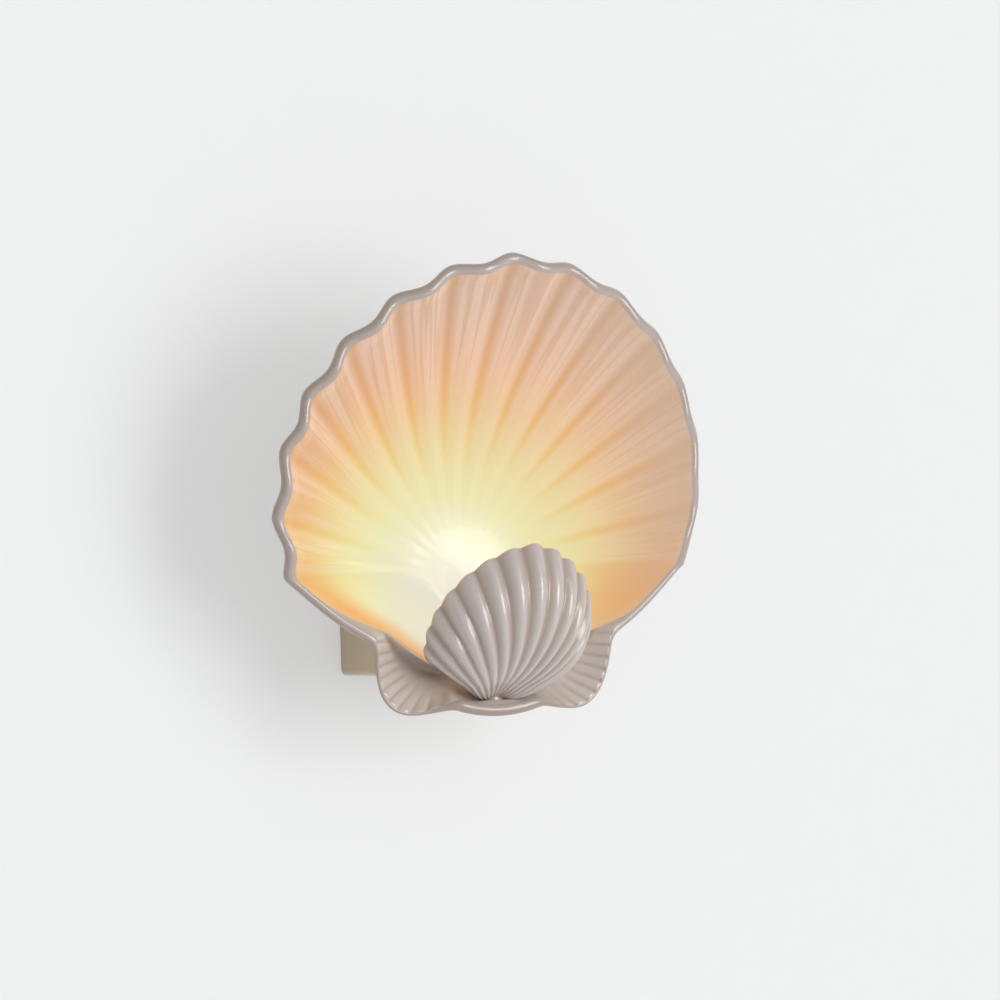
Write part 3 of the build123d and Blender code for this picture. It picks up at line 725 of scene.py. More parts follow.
@dataclass
class FlutedBowl:
    """Scallop bowl with rolled lip, ears and wavy bottom lip, as radial cuts about its pole.

    Angles are in degrees from straight up. A pair of lengths is a radius and a depth from the
    wall. A window is four numbers, over which a value rises and falls again. Names that end in
    left give the value at the bowl's left, where the light reaches less far down.
    """

    pole_height: float = 6.0
    pole_depth: float = 55.0
    half_width: float = 127.4
    wall: float = 5.0
    hub: float = 16.0
    hub_steps: tuple[float, float, float] = (0.25, 0.5, 0.75)
    hub_rise: float = 0.02
    seat_depth: float = 49.0
    pad_edges: Span = (2.2, 1.9)
    pad_rings: Span = (12.0, 6.0)
    lip: float = 7.0
    band: float = 12.0
    top: Span = (169.5, 131.0)
    side: Span = (117.4, 84.0)
    side_angle: float = 90.5
    side_swell: float = 2.6
    swell_zone: Window = (40.0, 72.0, 82.0, 96.0)
    rim_power: float = 1.5
    bowl_power: float = 1.75
    flute_pitch: float = 12.2
    wide_pitch: float = 14.75
    narrow: int = 5
    wide: int = 2
    flute_depth: float = 4.4
    flute_draw: float = 0.9
    flute_power: float = 1.8
    waist_angle: float = 115.6
    waist: Span = (80.8, 91.0)
    waist_bow: float = 2.5
    waist_fade: Span = (-1.0, 6.0)
    ear: Span = (97.3, 84.5)
    ear_skew: float = 1.2
    ear_power: float = 1.2
    ear_thin: float = 4.4
    thin_zone: Window = (112.0, 122.0, 148.0, 166.0)
    notch_angle: float = 161.0
    bottom: Span = (78.9, 96.4)
    ridge: Span = (57.5, 80.0)
    dish: float = 5.0
    dish_run: float = 3.0
    dish_pull: Span = (1.15, 1.6)
    back_draw: float = 0.8
    side_slope: float = 0.5
    bottom_slope: float = 3.0
    rounding: tuple[tuple[str, float, float], ...] = (
        ("rr", 4.5, 86.0),
        ("rd", 4.5, 86.0),
        ("slope", 4.5, 86.0),
        ("dish", 4.5, 86.0),
        ("r", 2.4, 102.0),
        ("d", 2.5, 96.0),
    )
    rounding_fade: float = 6.0
    flute_columns: int = 17
    waist_columns: int = 25
    ear_columns: int = 131
    inside_rows: int = 41
    rim_rows: int = 19
    roll_rows: int = 11
    outside_rows: int = 15
    rear_rows: int = 29
    nipple_height: float = -36.0
    boss_radius: float = 11.0
    boss_depth: float = 69.0
    post_depth: float = 92.5
    mound_top: float = -64.2
    mound_stretch: float = 1.25
    mound_flat: float = 6.0
    mound_fall: float = 0.045
    mound_sharp: float = 1.1
    mound_sink: float = 0.12
    mound_reach: float = 26.0
    fan_place: Span = (8.5, -30.5)
    fan_pitch: float = 6.2
    fan_rib: float = 1.3
    fan_middle: float = 0.6
    fan_start: Span = (34.0, 52.0)
    fan_angles: Window = (-6.0, 4.0, 50.0, 64.0)
    fan_rows: Window = (0.12, 0.5, 1.0, 1.4)
    screw_top: float = -69.2
    screw_edge: Span = (3.1, 3.8)
    lip_height: float = -60.0
    on_back: float = 2.0
    front_end: float = 1.5
    # where the painted glow of the lamp lies and how far it reaches, and where it turns orange and
    # fades
    glow_place: tuple[float, float, float] = (-11.0, -87.4, -13.0)
    glow_unit: float = 200.0
    glow_end: Span = (104.0, 128.0)
    glow_end_left: Span = (94.0, 122.0)
    warm_angles: Span = (78.0, 104.0)
    warm_rows: Span = (0.5, 0.85)
    warm_rows_left: Span = (0.67, 0.92)
    warm_share: float = 0.45
    warm_share_left: float = 0.85
    dull_width: Span = (10.0, 105.0)
    dull_rows: Span = (0.5, 0.95)
    dull_share: float = 0.72
    # place and angles of the shade painted under the ridge, on the ears
    valley_row: Span = (0.22, 0.14)
    valley_zone: Window = (112.0, 122.0, 150.0, 165.0)
    # ears painted paler from these angles on, as if lit more
    pale_zone: Span = (110.0, 122.0)

    def angles(self) -> Array:
        """Angles of the columns, all round, dense enough for each flute and the ears' ribs.

        Returns:
            The angles, first down the right side and then up the left.
        """
        marks = self.flute_marks()
        parts = [np.linspace(a, b, self.flute_columns)[:-1] for a, b in zip(marks[:-1], marks[1:])]
        parts.append(np.linspace(self.side_angle, self.waist_angle, self.waist_columns)[:-1])
        parts.append(np.linspace(self.waist_angle, 180.0, self.ear_columns))
        half = np.concatenate(parts)
        return np.concatenate([half, -half[-2:0:-1]])

    def flute_marks(self) -> Array:
        """Angles of the flutes' bottoms on one side, first the narrow flutes, then the wide ones.

        Returns:
            The angles, from straight up.
        """
        count = np.arange(self.narrow + self.wide + 1)
        extra = self.wide_pitch - self.flute_pitch
        return self.flute_pitch * count + extra * np.maximum(count - self.narrow, 0)

    def cut_sizes(self, angle: Array) -> dict[str, Array]:
        """Sizes of the cut at each angle, with the run of lip and ridge rounded at the waist.

        Each size named in rounding is averaged over a bell exp(-(t / width)^2 / 2), on an even
        scale of angles, and takes the average's value from its start angle on.

        Args:
            angle: angles of the cuts.

        Returns:
            The sizes that sharp_sizes names.
        """
        sizes = self.sharp_sizes(angle)
        step, reach = 0.25, 60
        even = np.arange(60.0, 240.0 + step / 2, step)
        sharp = self.sharp_sizes(np.where(even > 180, 360 - even, even))
        a = np.abs(angle)
        for key, width, start in self.rounding:
            bell = np.exp(-0.5 * (np.arange(-reach, reach + 1) * step / width) ** 2)
            padded = np.pad(sharp[key], reach, mode="edge")
            rounded = np.convolve(padded, bell / bell.sum(), mode="valid")
            weight = smooth(a, start, start + self.rounding_fade)
            sizes[key] = between(sizes[key], np.interp(a, even, rounded), weight)
        return sizes

    def sharp_sizes(self, angle: Array) -> dict[str, Array]:
        """Sizes of the cut at each angle, as three zones that meet: flutes, waist and ears.

        Args:
            angle: angles of the cuts.

        Returns:
            Radius r and depth d of the lip, radius rr and depth rd of the ridge, slope of the
            band between them, dish of its hollow, lift of the flute, and flute, the place
            across the flutes.
        """
        a = np.abs(angle)
        marks = self.flute_marks()
        index = np.clip(np.searchsorted(marks, a, side="right") - 1, 0, len(marks) - 2)
        phase = np.clip((a - marks[index]) / (marks[index + 1] - marks[index]), 0, 1)
        flutes = self.flute_cut(a, phase)
        waist = self.waist_cut(a, flutes["slope"])
        ears = self.ear_cut(a)
        in_waist, in_ears = a > self.side_angle, a > self.waist_angle
        sizes = {
            key: np.where(in_ears, ears[key], np.where(in_waist, waist[key], flutes[key]))
            for key in flutes
        }
        sizes["flute"] = np.sign(angle) * (index + phase)
        return sizes

    def flute_cut(self, a: Array, phase: Array) -> dict[str, Any]:
        """Sizes among the flutes.

        Radius = top - (top - side) turn^1.5, depth = side + (top - side) cos^2, and each flute
        is lifted by its depth times sin(pi phase)^1.8.

        Args:
            a: angles.
            phase: places across a flute, from 0 to 1.

        Returns:
            The sizes, by name.
        """
        turn = np.minimum(a / self.side_angle, 1)
        radius = between(self.top[0], self.side[0], turn**self.rim_power)
        depth = between(self.side[1], self.top[1], np.cos(np.radians(a)) ** 2)
        depth = depth + self.side_swell * window(a, self.swell_zone)
        rise = depth + self.lip - self.pole_depth
        ridge_r = radius - self.band
        arch = np.sin(np.pi * phase) ** self.flute_power
        return {
            "r": radius - self.flute_draw * arch,
            "d": depth,
            "rr": ridge_r,
            "rd": self.pole_depth + rise * (ridge_r / radius) ** self.bowl_power,
            "slope": self.bowl_power * rise / radius,
            "dish": 0.0,
            "lift": self.flute_depth * arch,
        }

    def waist_cut(self, a: Array, slope: Array) -> dict[str, Any]:
        """Sizes from side corner to waist: a straight line in plan, bowed by a sine.

        Args:
            a: angles.
            slope: the flutes' slope, which turns into the waist's over a few degrees.

        Returns:
            The sizes, by name.
        """
        width = self.waist_angle - self.side_angle
        part = (a - self.side_angle) / width
        reach = self.side[0] * self.waist[0] * math.sin(math.radians(width))
        near = self.side[0] * np.sin(np.radians(a - self.side_angle))
        near = near + self.waist[0] * np.sin(np.radians(self.waist_angle - a))
        near = np.where((a > self.side_angle) & (a <= self.waist_angle), near, 1)
        line = reach / near + self.waist_bow * np.sin(np.pi * part)
        corner = ((self.side[0] - self.band) / self.side[0]) ** self.bowl_power
        corner = self.pole_depth + (self.side[1] + self.lip - self.pole_depth) * corner
        early, late = self.waist_fade
        fade = smooth(a, self.side_angle + early, self.side_angle + late)
        return {
            "r": line,
            "d": between(self.side[1], self.waist[1], part),
            "rr": line - self.band,
            "rd": between(corner, self.waist[1], np.clip(part, 0, 1)),
            "slope": between(slope, self.side_slope, fade),
            "dish": 0.0,
            "lift": 0.0,
        }

    def ear_cut(self, a: Array) -> dict[str, Any]:
        """Sizes of the ears: waist to bottom in a straight line, plus sin(pi run^1.2)^1.2.

        Args:
            a: angles.

        Returns:
            The sizes, by name.
        """
        run = np.clip((a - self.waist_angle) / (self.notch_angle - self.waist_angle), 0, 1)
        bulge = np.abs(np.sin(np.pi * run**self.ear_skew)) ** self.ear_power
        radius = between(self.waist[0], self.bottom[0], run)
        depth = between(self.waist[1], self.bottom[1], run)
        middle = 0.5 * (self.waist[1] + self.bottom[1])
        slope = (self.bottom_slope - self.side_slope) * run**2 * (1 - bulge)
        return {
            "r": radius + (self.ear[0] - self.waist[0]) * bulge,
            "d": depth - (middle - self.ear[1]) * bulge,
            "rr": between(self.ridge[0], self.waist[0] - self.band, (1 - run) ** 2),
            "rd": between(self.waist[1], self.ridge[1], run),
            "slope": self.side_slope + slope,
            "dish": self.dish * np.minimum(self.dish_run * run, 1),
            "lift": 0.0,
        }

    def profile(self, angle: Array) -> tuple[Array, Array, Array]:
        """Closed cut at each angle, as (radius, depth) from the pole inside to the pole outside.

        It is made of cubic curves, a half turn round the lip and flat parts round the pole. The
        curves meet with one slope at the ridge, save where the band beyond it is hollowed.

        Args:
            angle: angles of the cuts.

        Returns:
            The points, and for each row the place from pole to lip, which passes 1 on the lip and
            outside, and the place from ridge to lip, which is 0 before the ridge.
        """
        c = self.cut_sizes(angle)
        size = np.sqrt(1 + c["slope"] ** 2)
        along = stack(1 / size, c["slope"] / size)
        normal = stack(-c["slope"] / size, 1 / size)
        lift = c["lift"][:, None]
        dish = c["dish"]
        outer = stack(c["r"], c["d"]) + normal * lift
        inner = outer + normal * self.lip
        thin = self.ear_thin * window(np.abs(angle), self.thin_zone)
        outer = outer + normal * thin[:, None]
        thick = (self.lip - thin)[:, None, None]
        ridge = stack(c["rr"], c["rd"]) + normal * lift
        back = stack(c["rr"] + self.back_draw * dish, ridge[:, 1] - dish - self.wall)
        back_depth = self.pole_depth - self.wall
        run = (ridge[:, 0] - self.hub) / 3
        back_run = (back[:, 0] - self.hub) / 3
        steep = self.bowl_power * (ridge[:, 1] - self.pole_depth) / ridge[:, 0]
        band = (1 - dish / self.dish) * (inner[:, 0] - ridge[:, 0]) / 3
        reach = np.hypot(*(inner - ridge).T) / 3
        back_reach = np.hypot(*(outer - back).T) / 3
        pull_out, pull_down = self.dish_pull[0] * dish, self.dish_pull[1] * dish
        inside = bezier(
            stack(np.full_like(run, self.hub), self.pole_depth),
            stack(self.hub + run, self.pole_depth + self.hub_rise * run),
            stack(ridge[:, 0] - run, ridge[:, 1] - steep * run),
            ridge,
            np.linspace(0, 1, self.inside_rows),
        )
        rim = bezier(
            ridge,
            stack(ridge[:, 0] + band + pull_out, ridge[:, 1] + steep * band - pull_down),
            inner - along * reach[:, None],
            inner,
            np.linspace(0, 1, self.rim_rows)[1:],
        )
        roll = rolled(inner, outer, along[:, None] * 0.5 * thick, self.roll_rows)
        outside = bezier(
            outer,
            outer - along * back_reach[:, None],
            stack(back[:, 0] + back_reach / 2, back[:, 1] + steep * back_reach / 2),
            back,
            np.linspace(0, 1, self.outside_rows),
        )
        rear = bezier(
            back,
            stack(back[:, 0] - back_run, back[:, 1] - steep * back_run),
            stack(self.hub + back_run, back_depth + self.hub_rise * back_run),
            stack(np.full_like(run, self.hub), back_depth),
            np.linspace(0, 1, self.rear_rows)[1:],
        )
        steps = self.hub * np.array(self.hub_steps)
        edges = [self.hub + edge for edge in self.pad_edges]
        pad = stack([*edges, *self.pad_rings], [back_depth] + [self.seat_depth] * 3)
        pad = np.repeat(pad[None], len(angle), axis=0)
        centre = np.repeat(stack(steps, self.pole_depth)[None], len(angle), axis=0)
        points = np.concatenate([centre, inside, rim, roll, outside, rear[:, :-2], pad], axis=1)
        to_lip = np.linspace(0, 1, self.rim_rows)[1:]
        to_ridge = np.linspace(0.1, 0.9, self.inside_rows)
        share = [steps / c["r"].mean(), to_ridge, np.linspace(0.9, 1, self.rim_rows)[1:]]
        past = [np.zeros(len(steps) + self.inside_rows), to_lip]
        rest = points.shape[1] - self.lip_row() - 1
        share = np.concatenate([*share, np.full(rest, 1.2)])
        return points, share, np.concatenate([*past, np.full(rest, self.on_back)])

    def lip_row(self) -> int:
        """Number of the row on the lip's inner edge."""
        return len(self.hub_steps) + self.inside_rows + self.rim_rows - 2

    def build(self, finish: LitGlaze) -> bpy.types.Object:
        """Mesh of the whole bowl with the numbers that its glaze reads.

        Each cut stands at x = radius sin(angle), z = pole height + radius cos(angle) and
        y = -depth.

        Args:
            finish: its glaze.

        Returns:
            The bowl.
        """
        angle = self.angles()
        flat, share, past = self.profile(angle)
        turn = np.radians(angle)[:, None]
        x = flat[..., 0] * np.sin(turn)
        z = self.pole_height + flat[..., 0] * np.cos(turn)
        front = np.broadcast_to(past < self.front_end, x.shape)
        depth = self.spot_face(x, z, flat[..., 1], front)
        z = self.mound(x, z, depth, past)
        depth, rib = self.ear_ribs(x, z, depth, past)
        z = self.screw_dimple(x, z, depth, front)
        x = x * np.minimum(1.0, self.half_width / np.abs(x).max())
        points = np.stack([x, -depth, z], axis=-1)
        tip = np.array([0.0, -self.pole_depth, self.pole_height])
        toe = np.array([0.0, -self.seat_depth, self.pole_height])
        mesh = grid_mesh("shell_bowl_glazed", points, tip, toe)
        numbers = self.glaze_numbers(angle, points, share, past, rib)
        ends = {"lamp": (0.17, 1.0), "inside": (1.0, 0.0), "share": (0.0, 1.2)}
        for name, values in numbers.items():
            values = np.broadcast_to(values, x.shape).reshape(-1)
            keep(mesh, name, np.concatenate([values, ends.get(name, (0.0, 0.0))]))
        bowl = piece("shell_bowl_glazed", mesh, "fixture", finish.make())
        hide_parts("shell_bowl")
        return bowl

    def glaze_numbers(
        self, angle: Array, points: Array, share: Array, past: Array, rib: Array
    ) -> dict[str, Array]:
        """Numbers that the glaze reads.

        Args:
            angle: angle of each column.
            points: places of the points, by column and row.
            share: each row's place from pole to lip.
            past: each row's place from ridge to lip.
            rib: 1 in the grooves of the ears' ribs, where shade is painted.

        Returns:
            Each number by its name, by column and row, or one of the two.
        """
        a = np.abs(angle)[:, None]
        left = 0.5 - 0.5 * np.sign(np.sin(np.radians(angle)))[:, None]
        ends = (between(*pair, left) for pair in zip(self.glow_end, self.glow_end_left))
        glow_end = 1 - smooth(a, *ends)
        front = past < self.front_end
        lit = np.where(front, 1 - smooth(past - glow_end, -0.10, 0.0), 0.0)
        lit = np.where(past <= 0, 1.0, lit)
        rows = (between(*pair, left) for pair in zip(self.warm_rows, self.warm_rows_left))
        by_ridge = smooth(share, *rows) * (1 - 0.5 * smooth(past, 0.4, 1.0))
        warm_share = between(self.warm_share, self.warm_share_left, left)
        beyond = np.arange(len(share)) - float(self.lip_row())
        # painted shade on the outer side of the lip, behind its edge
        edge = smooth(beyond, 1.0, 7.0) * (1 - 0.7 * smooth(beyond, 12.0, 24.0))
        dull = smooth(points[..., 0], *self.dull_width) * smooth(share, *self.dull_rows)
        # painted shade under the ridge, on the ears, joined to the shade in their grooves
        middle, width = self.valley_row
        valley_shade = np.exp(-(((past - middle) / width) ** 2)) * window(a, self.valley_zone)
        # warm and dull: where the painted glow turns orange and fades; ear: ears painted paler, as
        # if lit more
        return {
            "lamp": np.linalg.norm(points - np.array(self.glow_place), axis=-1) / self.glow_unit,
            "inside": lit,
            "flute": self.cut_sizes(angle)["flute"][:, None],
            "share": share,
            "warm": smooth(a, *self.warm_angles) * by_ridge * lit * warm_share,
            "rib": np.maximum(rib, 1.6 * valley_shade),
            "edge": edge,
            "dull": dull * lit * self.dull_share,
            "ear": smooth(a, *self.pale_zone) * (front & (past > 0)) * (1 - valley_shade),
        }

    def spot_face(self, x: Array, z: Array, depth: Array, front: Array) -> Array:
        """Flat seats round the nipple: the boss's front inside, and the seat behind.

        The depth goes over to the seat's by a smooth step of the distance from the nipple.

        Args:
            x, z, depth: places of the points.
            front: where the points are on the inside of the bowl.

        Returns:
            The new depths.
        """
        away = np.hypot(x, z - self.nipple_height)
        inner = 1 - smooth(away, self.boss_radius, self.boss_radius + 1.4)
        outer = 1 - smooth(away, self.boss_radius - 0.2, self.boss_radius + 0.6)
        face = between(depth, self.boss_depth, inner)
        return np.where(front, face, between(depth, self.seat_depth, outer))

    def ear_ribs(self, x: Array, z: Array, depth: Array, past: Array) -> tuple[Array, Array]:
        """Rounded ribs that fan out over each ear from a point behind the small shell.

        Their height is rib times 1 - t^2, with t from -1 to 1 across a rib, where the fan's angle
        is atan2(height below, distance outwards), faded in with the distance from its point.

        Args:
            x, z, depth: places of the points.
            past: each row's place from ridge to lip.

        Returns:
            The new depths and, for the glaze, 1 in the grooves between the ribs, where shade is
            painted.
        """
        out, below = np.abs(x) - self.fan_place[0], self.fan_place[1] - z
        fan = np.degrees(np.arctan2(below, out))
        across = (fan / self.fan_pitch % 1.0) * 2 - 1
        mask = smooth(np.hypot(out, below), *self.fan_start) * window(fan, self.fan_angles)
        mask = mask * window(past, self.fan_rows)
        lift = 1 - across**2 - self.fan_middle
        # grooves between the ribs, where the glaze gets painted shade
        groove = np.clip(across**2 * 1.3 - 0.4, 0, 1)
        return depth + self.fan_rib * lift * mask, groove * mask

    def mound(self, x: Array, z: Array, depth: Array, past: Array) -> Array:
        """Swelling of the bottom lip that carries the umbo.

        Height = smooth maximum of the surface and a dome, ln(exp(k z) + exp(k dome)) / k.

        Args:
            x, z, depth: places of the points.
            past: each row's place from ridge to lip.

        Returns:
            The new heights.
        """
        away = np.hypot(x / self.mound_stretch, depth - self.post_depth)
        dome = self.mound_top - self.mound_fall * np.maximum(away - self.mound_flat, 0) ** 2
        k = self.mound_sharp
        top = np.logaddexp(k * z, k * dome) / k - self.mound_sink
        near = (past > 0.05) & (past < self.front_end) & (away < self.mound_reach)
        return np.where(near, np.maximum(z, np.minimum(top, self.mound_top)), z)

    def screw_dimple(self, x: Array, z: Array, depth: Array, front: Array) -> Array:
        """Recess under the bottom lip for the head of the screw that holds the small shell.

        The height is raised to the recess's by a smooth step of the distance from the screw.

        Args:
            x, z, depth: places of the points.
            front: where the points are on the inside of the bowl.

        Returns:
            The new heights.
        """
        away = np.hypot(x, depth - self.post_depth)
        mask = (1 - smooth(away, *self.screw_edge)) * ~front * (z < self.lip_height)
        return between(z, np.maximum(z, self.screw_top), mask)


@dataclass
class SmallShell:
    """Small scallop with rounded ribs that fan out of its umbo, leaning forward over the lamp.

    The curves' inner points are in shares: of the reach and, in height, of the rise and, where
    there is a third number, of the rib's lift.
    """

    umbo: Span = (83.0, -63.0)
    length: float = 100.5
    lean: float = 35.0
    tilt: float = 2.5
    rise: float = 29.0
    rise_loss: float = 0.97
    rise_power: float = 0.6
    wall: float = 4.5
    edge: float = 0.5
    power: float = 1.4
    rib_angle: float = 8.06
    side_ribs: int = 7
    rib_depth: float = 3.6
    rib_power: float = 0.6
    rim_lift: float = 0.25
    scallop: float = 2.6
    scallop_middle: float = 0.55
    start: Span = (1.5, 0.3)
    back_point: tuple[float, float, float] = (0.26, 1.08, 0.4)
    front_point: tuple[float, float, float] = (0.81, 1.5, 1.1)
    hollow_front: tuple[float, float, float] = (0.78, 1.5, 0.4)
    hollow_back: Span = (0.29, 1.05)
    hollow_end: Span = (8.0, 0.25)
    hollow_walls: Span = (1.2, 1.3)
    roll: float = 0.35
    rib_columns: int = 16
    outer_rows: int = 64
    roll_rows: int = 7
    inner_rows: int = 26
    ball: tuple[float, float, float] = (89.0, -62.4, 6.6)
    ball_ends: Span = (8.0, 172.0)
    ball_rows: int = 24
    ball_step: float = 7.5
    foot: float = -62.2
    foot_drop: float = 2.2
    foot_fade: Span = (56.0, 62.0)

    def sections(self, angle: Array) -> tuple[Array, Array, Array]:
        """Closed cut at each angle, as (reach, height) above the rim plane.

        With turn from 0 in the middle to 1 at the sides, reach = length (1 - 0.5 turn^1.4) and
        rise = rise (1 - 0.97 turn^2)^0.6. Each rib is lifted by its depth times
        (0.5 + 0.5 cos(pi t))^0.6, with t from -1 to 1 across the rib.

        Args:
            angle: angles of the cuts from the middle of the fan.

        Returns:
            The points, each row's place along the rib (0 umbo, 1 rim, 2 inside) and each
            column's height on its rib from 0 to 1.
        """
        turn = np.abs(angle) / self.half_fan()
        across = (angle / self.rib_angle + 0.5) % 1.0 * 2 - 1
        crest = (0.5 + 0.5 * np.cos(np.pi * across)) ** self.rib_power
        lift = self.rib_depth * crest
        reach = self.length * (1 - (1 - self.edge) * turn**self.power)
        rise = self.rise * (1 - self.rise_loss * np.minimum(turn, 1) ** 2) ** self.rise_power
        bump_out = self.scallop * (crest - self.scallop_middle)
        back, front = self.back_point, self.front_point
        rim = stack(reach + bump_out, self.rim_lift * lift)
        slope = front[1] * rise / ((1 - front[0]) * reach)
        size = np.sqrt(1 + slope**2)
        inner = rim - stack(self.wall * slope / size, self.wall / size)
        rows = np.linspace(0, 1, self.outer_rows)
        outer_curve = bezier(
            stack(np.full_like(reach, self.start[0]), self.start[1]),
            stack(back[0] * reach, back[1] * rise + back[2] * lift),
            stack(front[0] * reach + bump_out, front[1] * rise + front[2] * lift),
            rim,
            rows,
        )
        tangent = stack(1 / size, -slope / size)[:, None]
        roll = rolled(rim, inner, tangent * (self.roll * self.wall), self.roll_rows)
        back, front, walls = self.hollow_back, self.hollow_front, self.hollow_walls
        inner_curve = bezier(
            inner,
            stack(front[0] * reach, front[1] * rise + lift * front[2] - walls[0] * self.wall),
            stack(back[0] * reach, back[1] * rise - walls[1] * self.wall),
            stack(np.full_like(reach, self.hollow_end[0]), self.hollow_end[1] * rise - self.wall),
            np.linspace(0, 1, self.inner_rows),
        )
        points = np.concatenate([outer_curve, roll, inner_curve], axis=1)
        ends = [np.full(self.roll_rows, 1.0), np.full(self.inner_rows, 2.0)]
        return points, np.concatenate([rows, *ends]), crest

    def half_fan(self) -> float:
        """Angle from the middle of the fan to its side, in degrees."""
        return self.rib_angle * (self.side_ribs + 0.5)

    def build(self, finish: RibGlaze) -> bpy.types.Object:
        """Closed mesh: the fan of cuts, with a cap at each side, and the ball of the umbo.

        Each cut is turned about the umbo and leaned forward: x = reach sin(turn), depth = umbo +
        reach cos(turn) sin(lean) + height cos(lean), z = umbo + reach cos(turn) cos(lean) -
        height sin(lean).

        Args:
            finish: its glaze.

        Returns:
            The small shell.
        """
        fan = self.half_fan()
        angle = np.linspace(-fan, fan, (2 * self.side_ribs + 1) * self.rib_columns + 1)
        flat, place, crest = self.sections(angle)
        turn = np.radians(angle)[:, None] + math.radians(self.tilt)
        lean = math.radians(self.lean)
        reach, height = flat[..., 0], flat[..., 1]
        x = reach * np.sin(turn)
        depth = self.umbo[0] + reach * np.cos(turn) * math.sin(lean) + height * math.cos(lean)
        z = self.umbo[1] + reach * np.cos(turn) * math.cos(lean) - height * math.sin(lean)
        z = self.lower(z)
        points = np.stack([x, -depth, z], axis=-1)
        columns, rows = points.shape[:2]
        count = columns * rows
        index = np.arange(count).reshape(columns, rows)
        next_row = np.roll(index, -1, axis=1)
        corners = [index[:-1], index[1:], next_row[1:], next_row[:-1]]
        quads = np.stack(corners, axis=-1).reshape(-1, 4)
        ends = points[[0, -1]].mean(axis=1)
        left = fan_of(count, index[0], next_row[0])
        right = fan_of(count + 1, next_row[-1], index[-1])
        ball = self.ball_points()
        y, top = -self.ball[0], self.ball[1] + self.ball[2]
        poles = np.array([[0, y, top], [0, y, self.foot - self.foot_drop]])
        vertices = np.concatenate([points.reshape(-1, 3), ends, ball.reshape(-1, 3), poles]) * MM
        faces = [quads, left, right, *grid_faces(*ball.shape[:2], count + len(ends))]
        mesh = face_mesh("small_shell_glazed", vertices, faces)
        spare = np.zeros(len(vertices) - count)
        for name, values in self.glaze_numbers(x, z, place, crest).items():
            keep(mesh, name, np.concatenate([values.reshape(-1), spare]))
        shell = piece("small_shell_glazed", mesh, "fixture", finish.make())
        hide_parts("small_shell")
        return shell

    def glaze_numbers(self, x: Array, z: Array, place: Array, crest: Array) -> dict[str, Array]:
        """Numbers that the glaze reads.

        Args:
            x, z: places of the points, by column and row.
            place: each row's place along the rib.
            crest: each column's height on its rib.

        Returns:
            groove, 1 between the ribs, for pooled glaze and painted shade, and rim, 1 where a glow
            of light through the rim is painted.
        """
        groove = np.broadcast_to((1 - crest)[:, None], x.shape)
        groove = np.where(place <= 1.0, groove**1.1 * smooth(place, 0.0, 0.15), 0.0)
        beyond = np.arange(len(place)) - np.argmax(place >= 1.0)
        # painted glow of light through the rim, stronger near the lamp
        rim = np.where(place > 1.5, 0.25, 0.75 * smooth(beyond, 0.0, 3.0))[None]
        by_lamp = 0.45 + 0.55 * (1 - smooth(x, -20.0, 40.0))
        return {"groove": groove, "rim": rim * smooth(z, -45.0, 0.0) * by_lamp}

    def lower(self, z: Array) -> Array:
        """Heights near the foot drawn down onto the bowl's mound, and held there."""
        drop = self.foot_drop
        return np.maximum(z - drop * smooth(-z, *self.foot_fade), self.foot - drop)

    def ball_points(self) -> Array:
        """Ball of the umbo without its poles: radius (sin v cos u, sin v sin u, cos v).

        Its height is drawn down and held at the foot as the shell's is.

        Returns:
            Its points, by column and row, in millimetres.
        """
        depth, height, radius = self.ball
        v = np.radians(np.linspace(*self.ball_ends, self.ball_rows))
        u = np.radians(np.arange(0, 360, self.ball_step))
        uu, vv = np.meshgrid(u, v, indexing="ij")
        x = radius * np.sin(vv) * np.cos(uu)
        y = -depth + radius * np.sin(vv) * np.sin(uu)
        return np.stack([x, y, self.lower(height + radius * np.cos(vv))], axis=-1)


@dataclass
class Fittings:
    """CAD nodes that keep their shape, each with the finish of its slot."""

    frame: dict[str, Any]

    def dress(self, shown: Sequence[str]) -> None:
        """Gives each node its slot's finish.

        Args:
            shown: nodes that a new piece stands for, which need no finish.
        """
        slots = {part["node"]: part["material_slot"] for part in self.frame["record"]["subparts"]}
        made: dict[str, bpy.types.Material] = {}
        for name, node in self.frame["nodes"].items():
            if name in shown:
                continue
            slot = slots[name]
            if slot not in made:
                made[slot] = Finish[slot].value.make()
            if node.material_slots:
                for place in node.material_slots:
                    place.material = made[slot]
            else:
                node.data.materials.append(made[slot])
            LOG.info("%s: %s", name, slot)


# ---------------------------------------------------------------- camera, lamps and stage
@dataclass(frozen=True)
class Lamp:
    """Lamp turned towards the wall light: a wide sun, or a tall soft box."""

    name: str
    place: tuple[float, float, float]
    energy: float
    size: float
    sun: bool = False
    sun_gloss: float = 0.3
    box_width: float = 0.2

    def make(self, aim: Vector) -> None:
        """Adds the lamp; size is a sun's width in degrees, or a box's height in metres.

        Args:
            aim: the point that the lamp is turned to, in metres.
        """
        data = bpy.data.lights.new(self.name, "SUN" if self.sun else "AREA")
        data.energy = self.energy
        if self.sun:
            data.angle = math.radians(self.size)
            data.specular_factor = self.sun_gloss
        else:
            data.shape = "RECTANGLE"
            data.size = self.size * self.box_width
            data.size_y = self.size
        made = add(self.name, data)
        made.location = self.place
        made.rotation_euler = (aim - made.location).to_track_quat("-Z", "Y").to_euler()


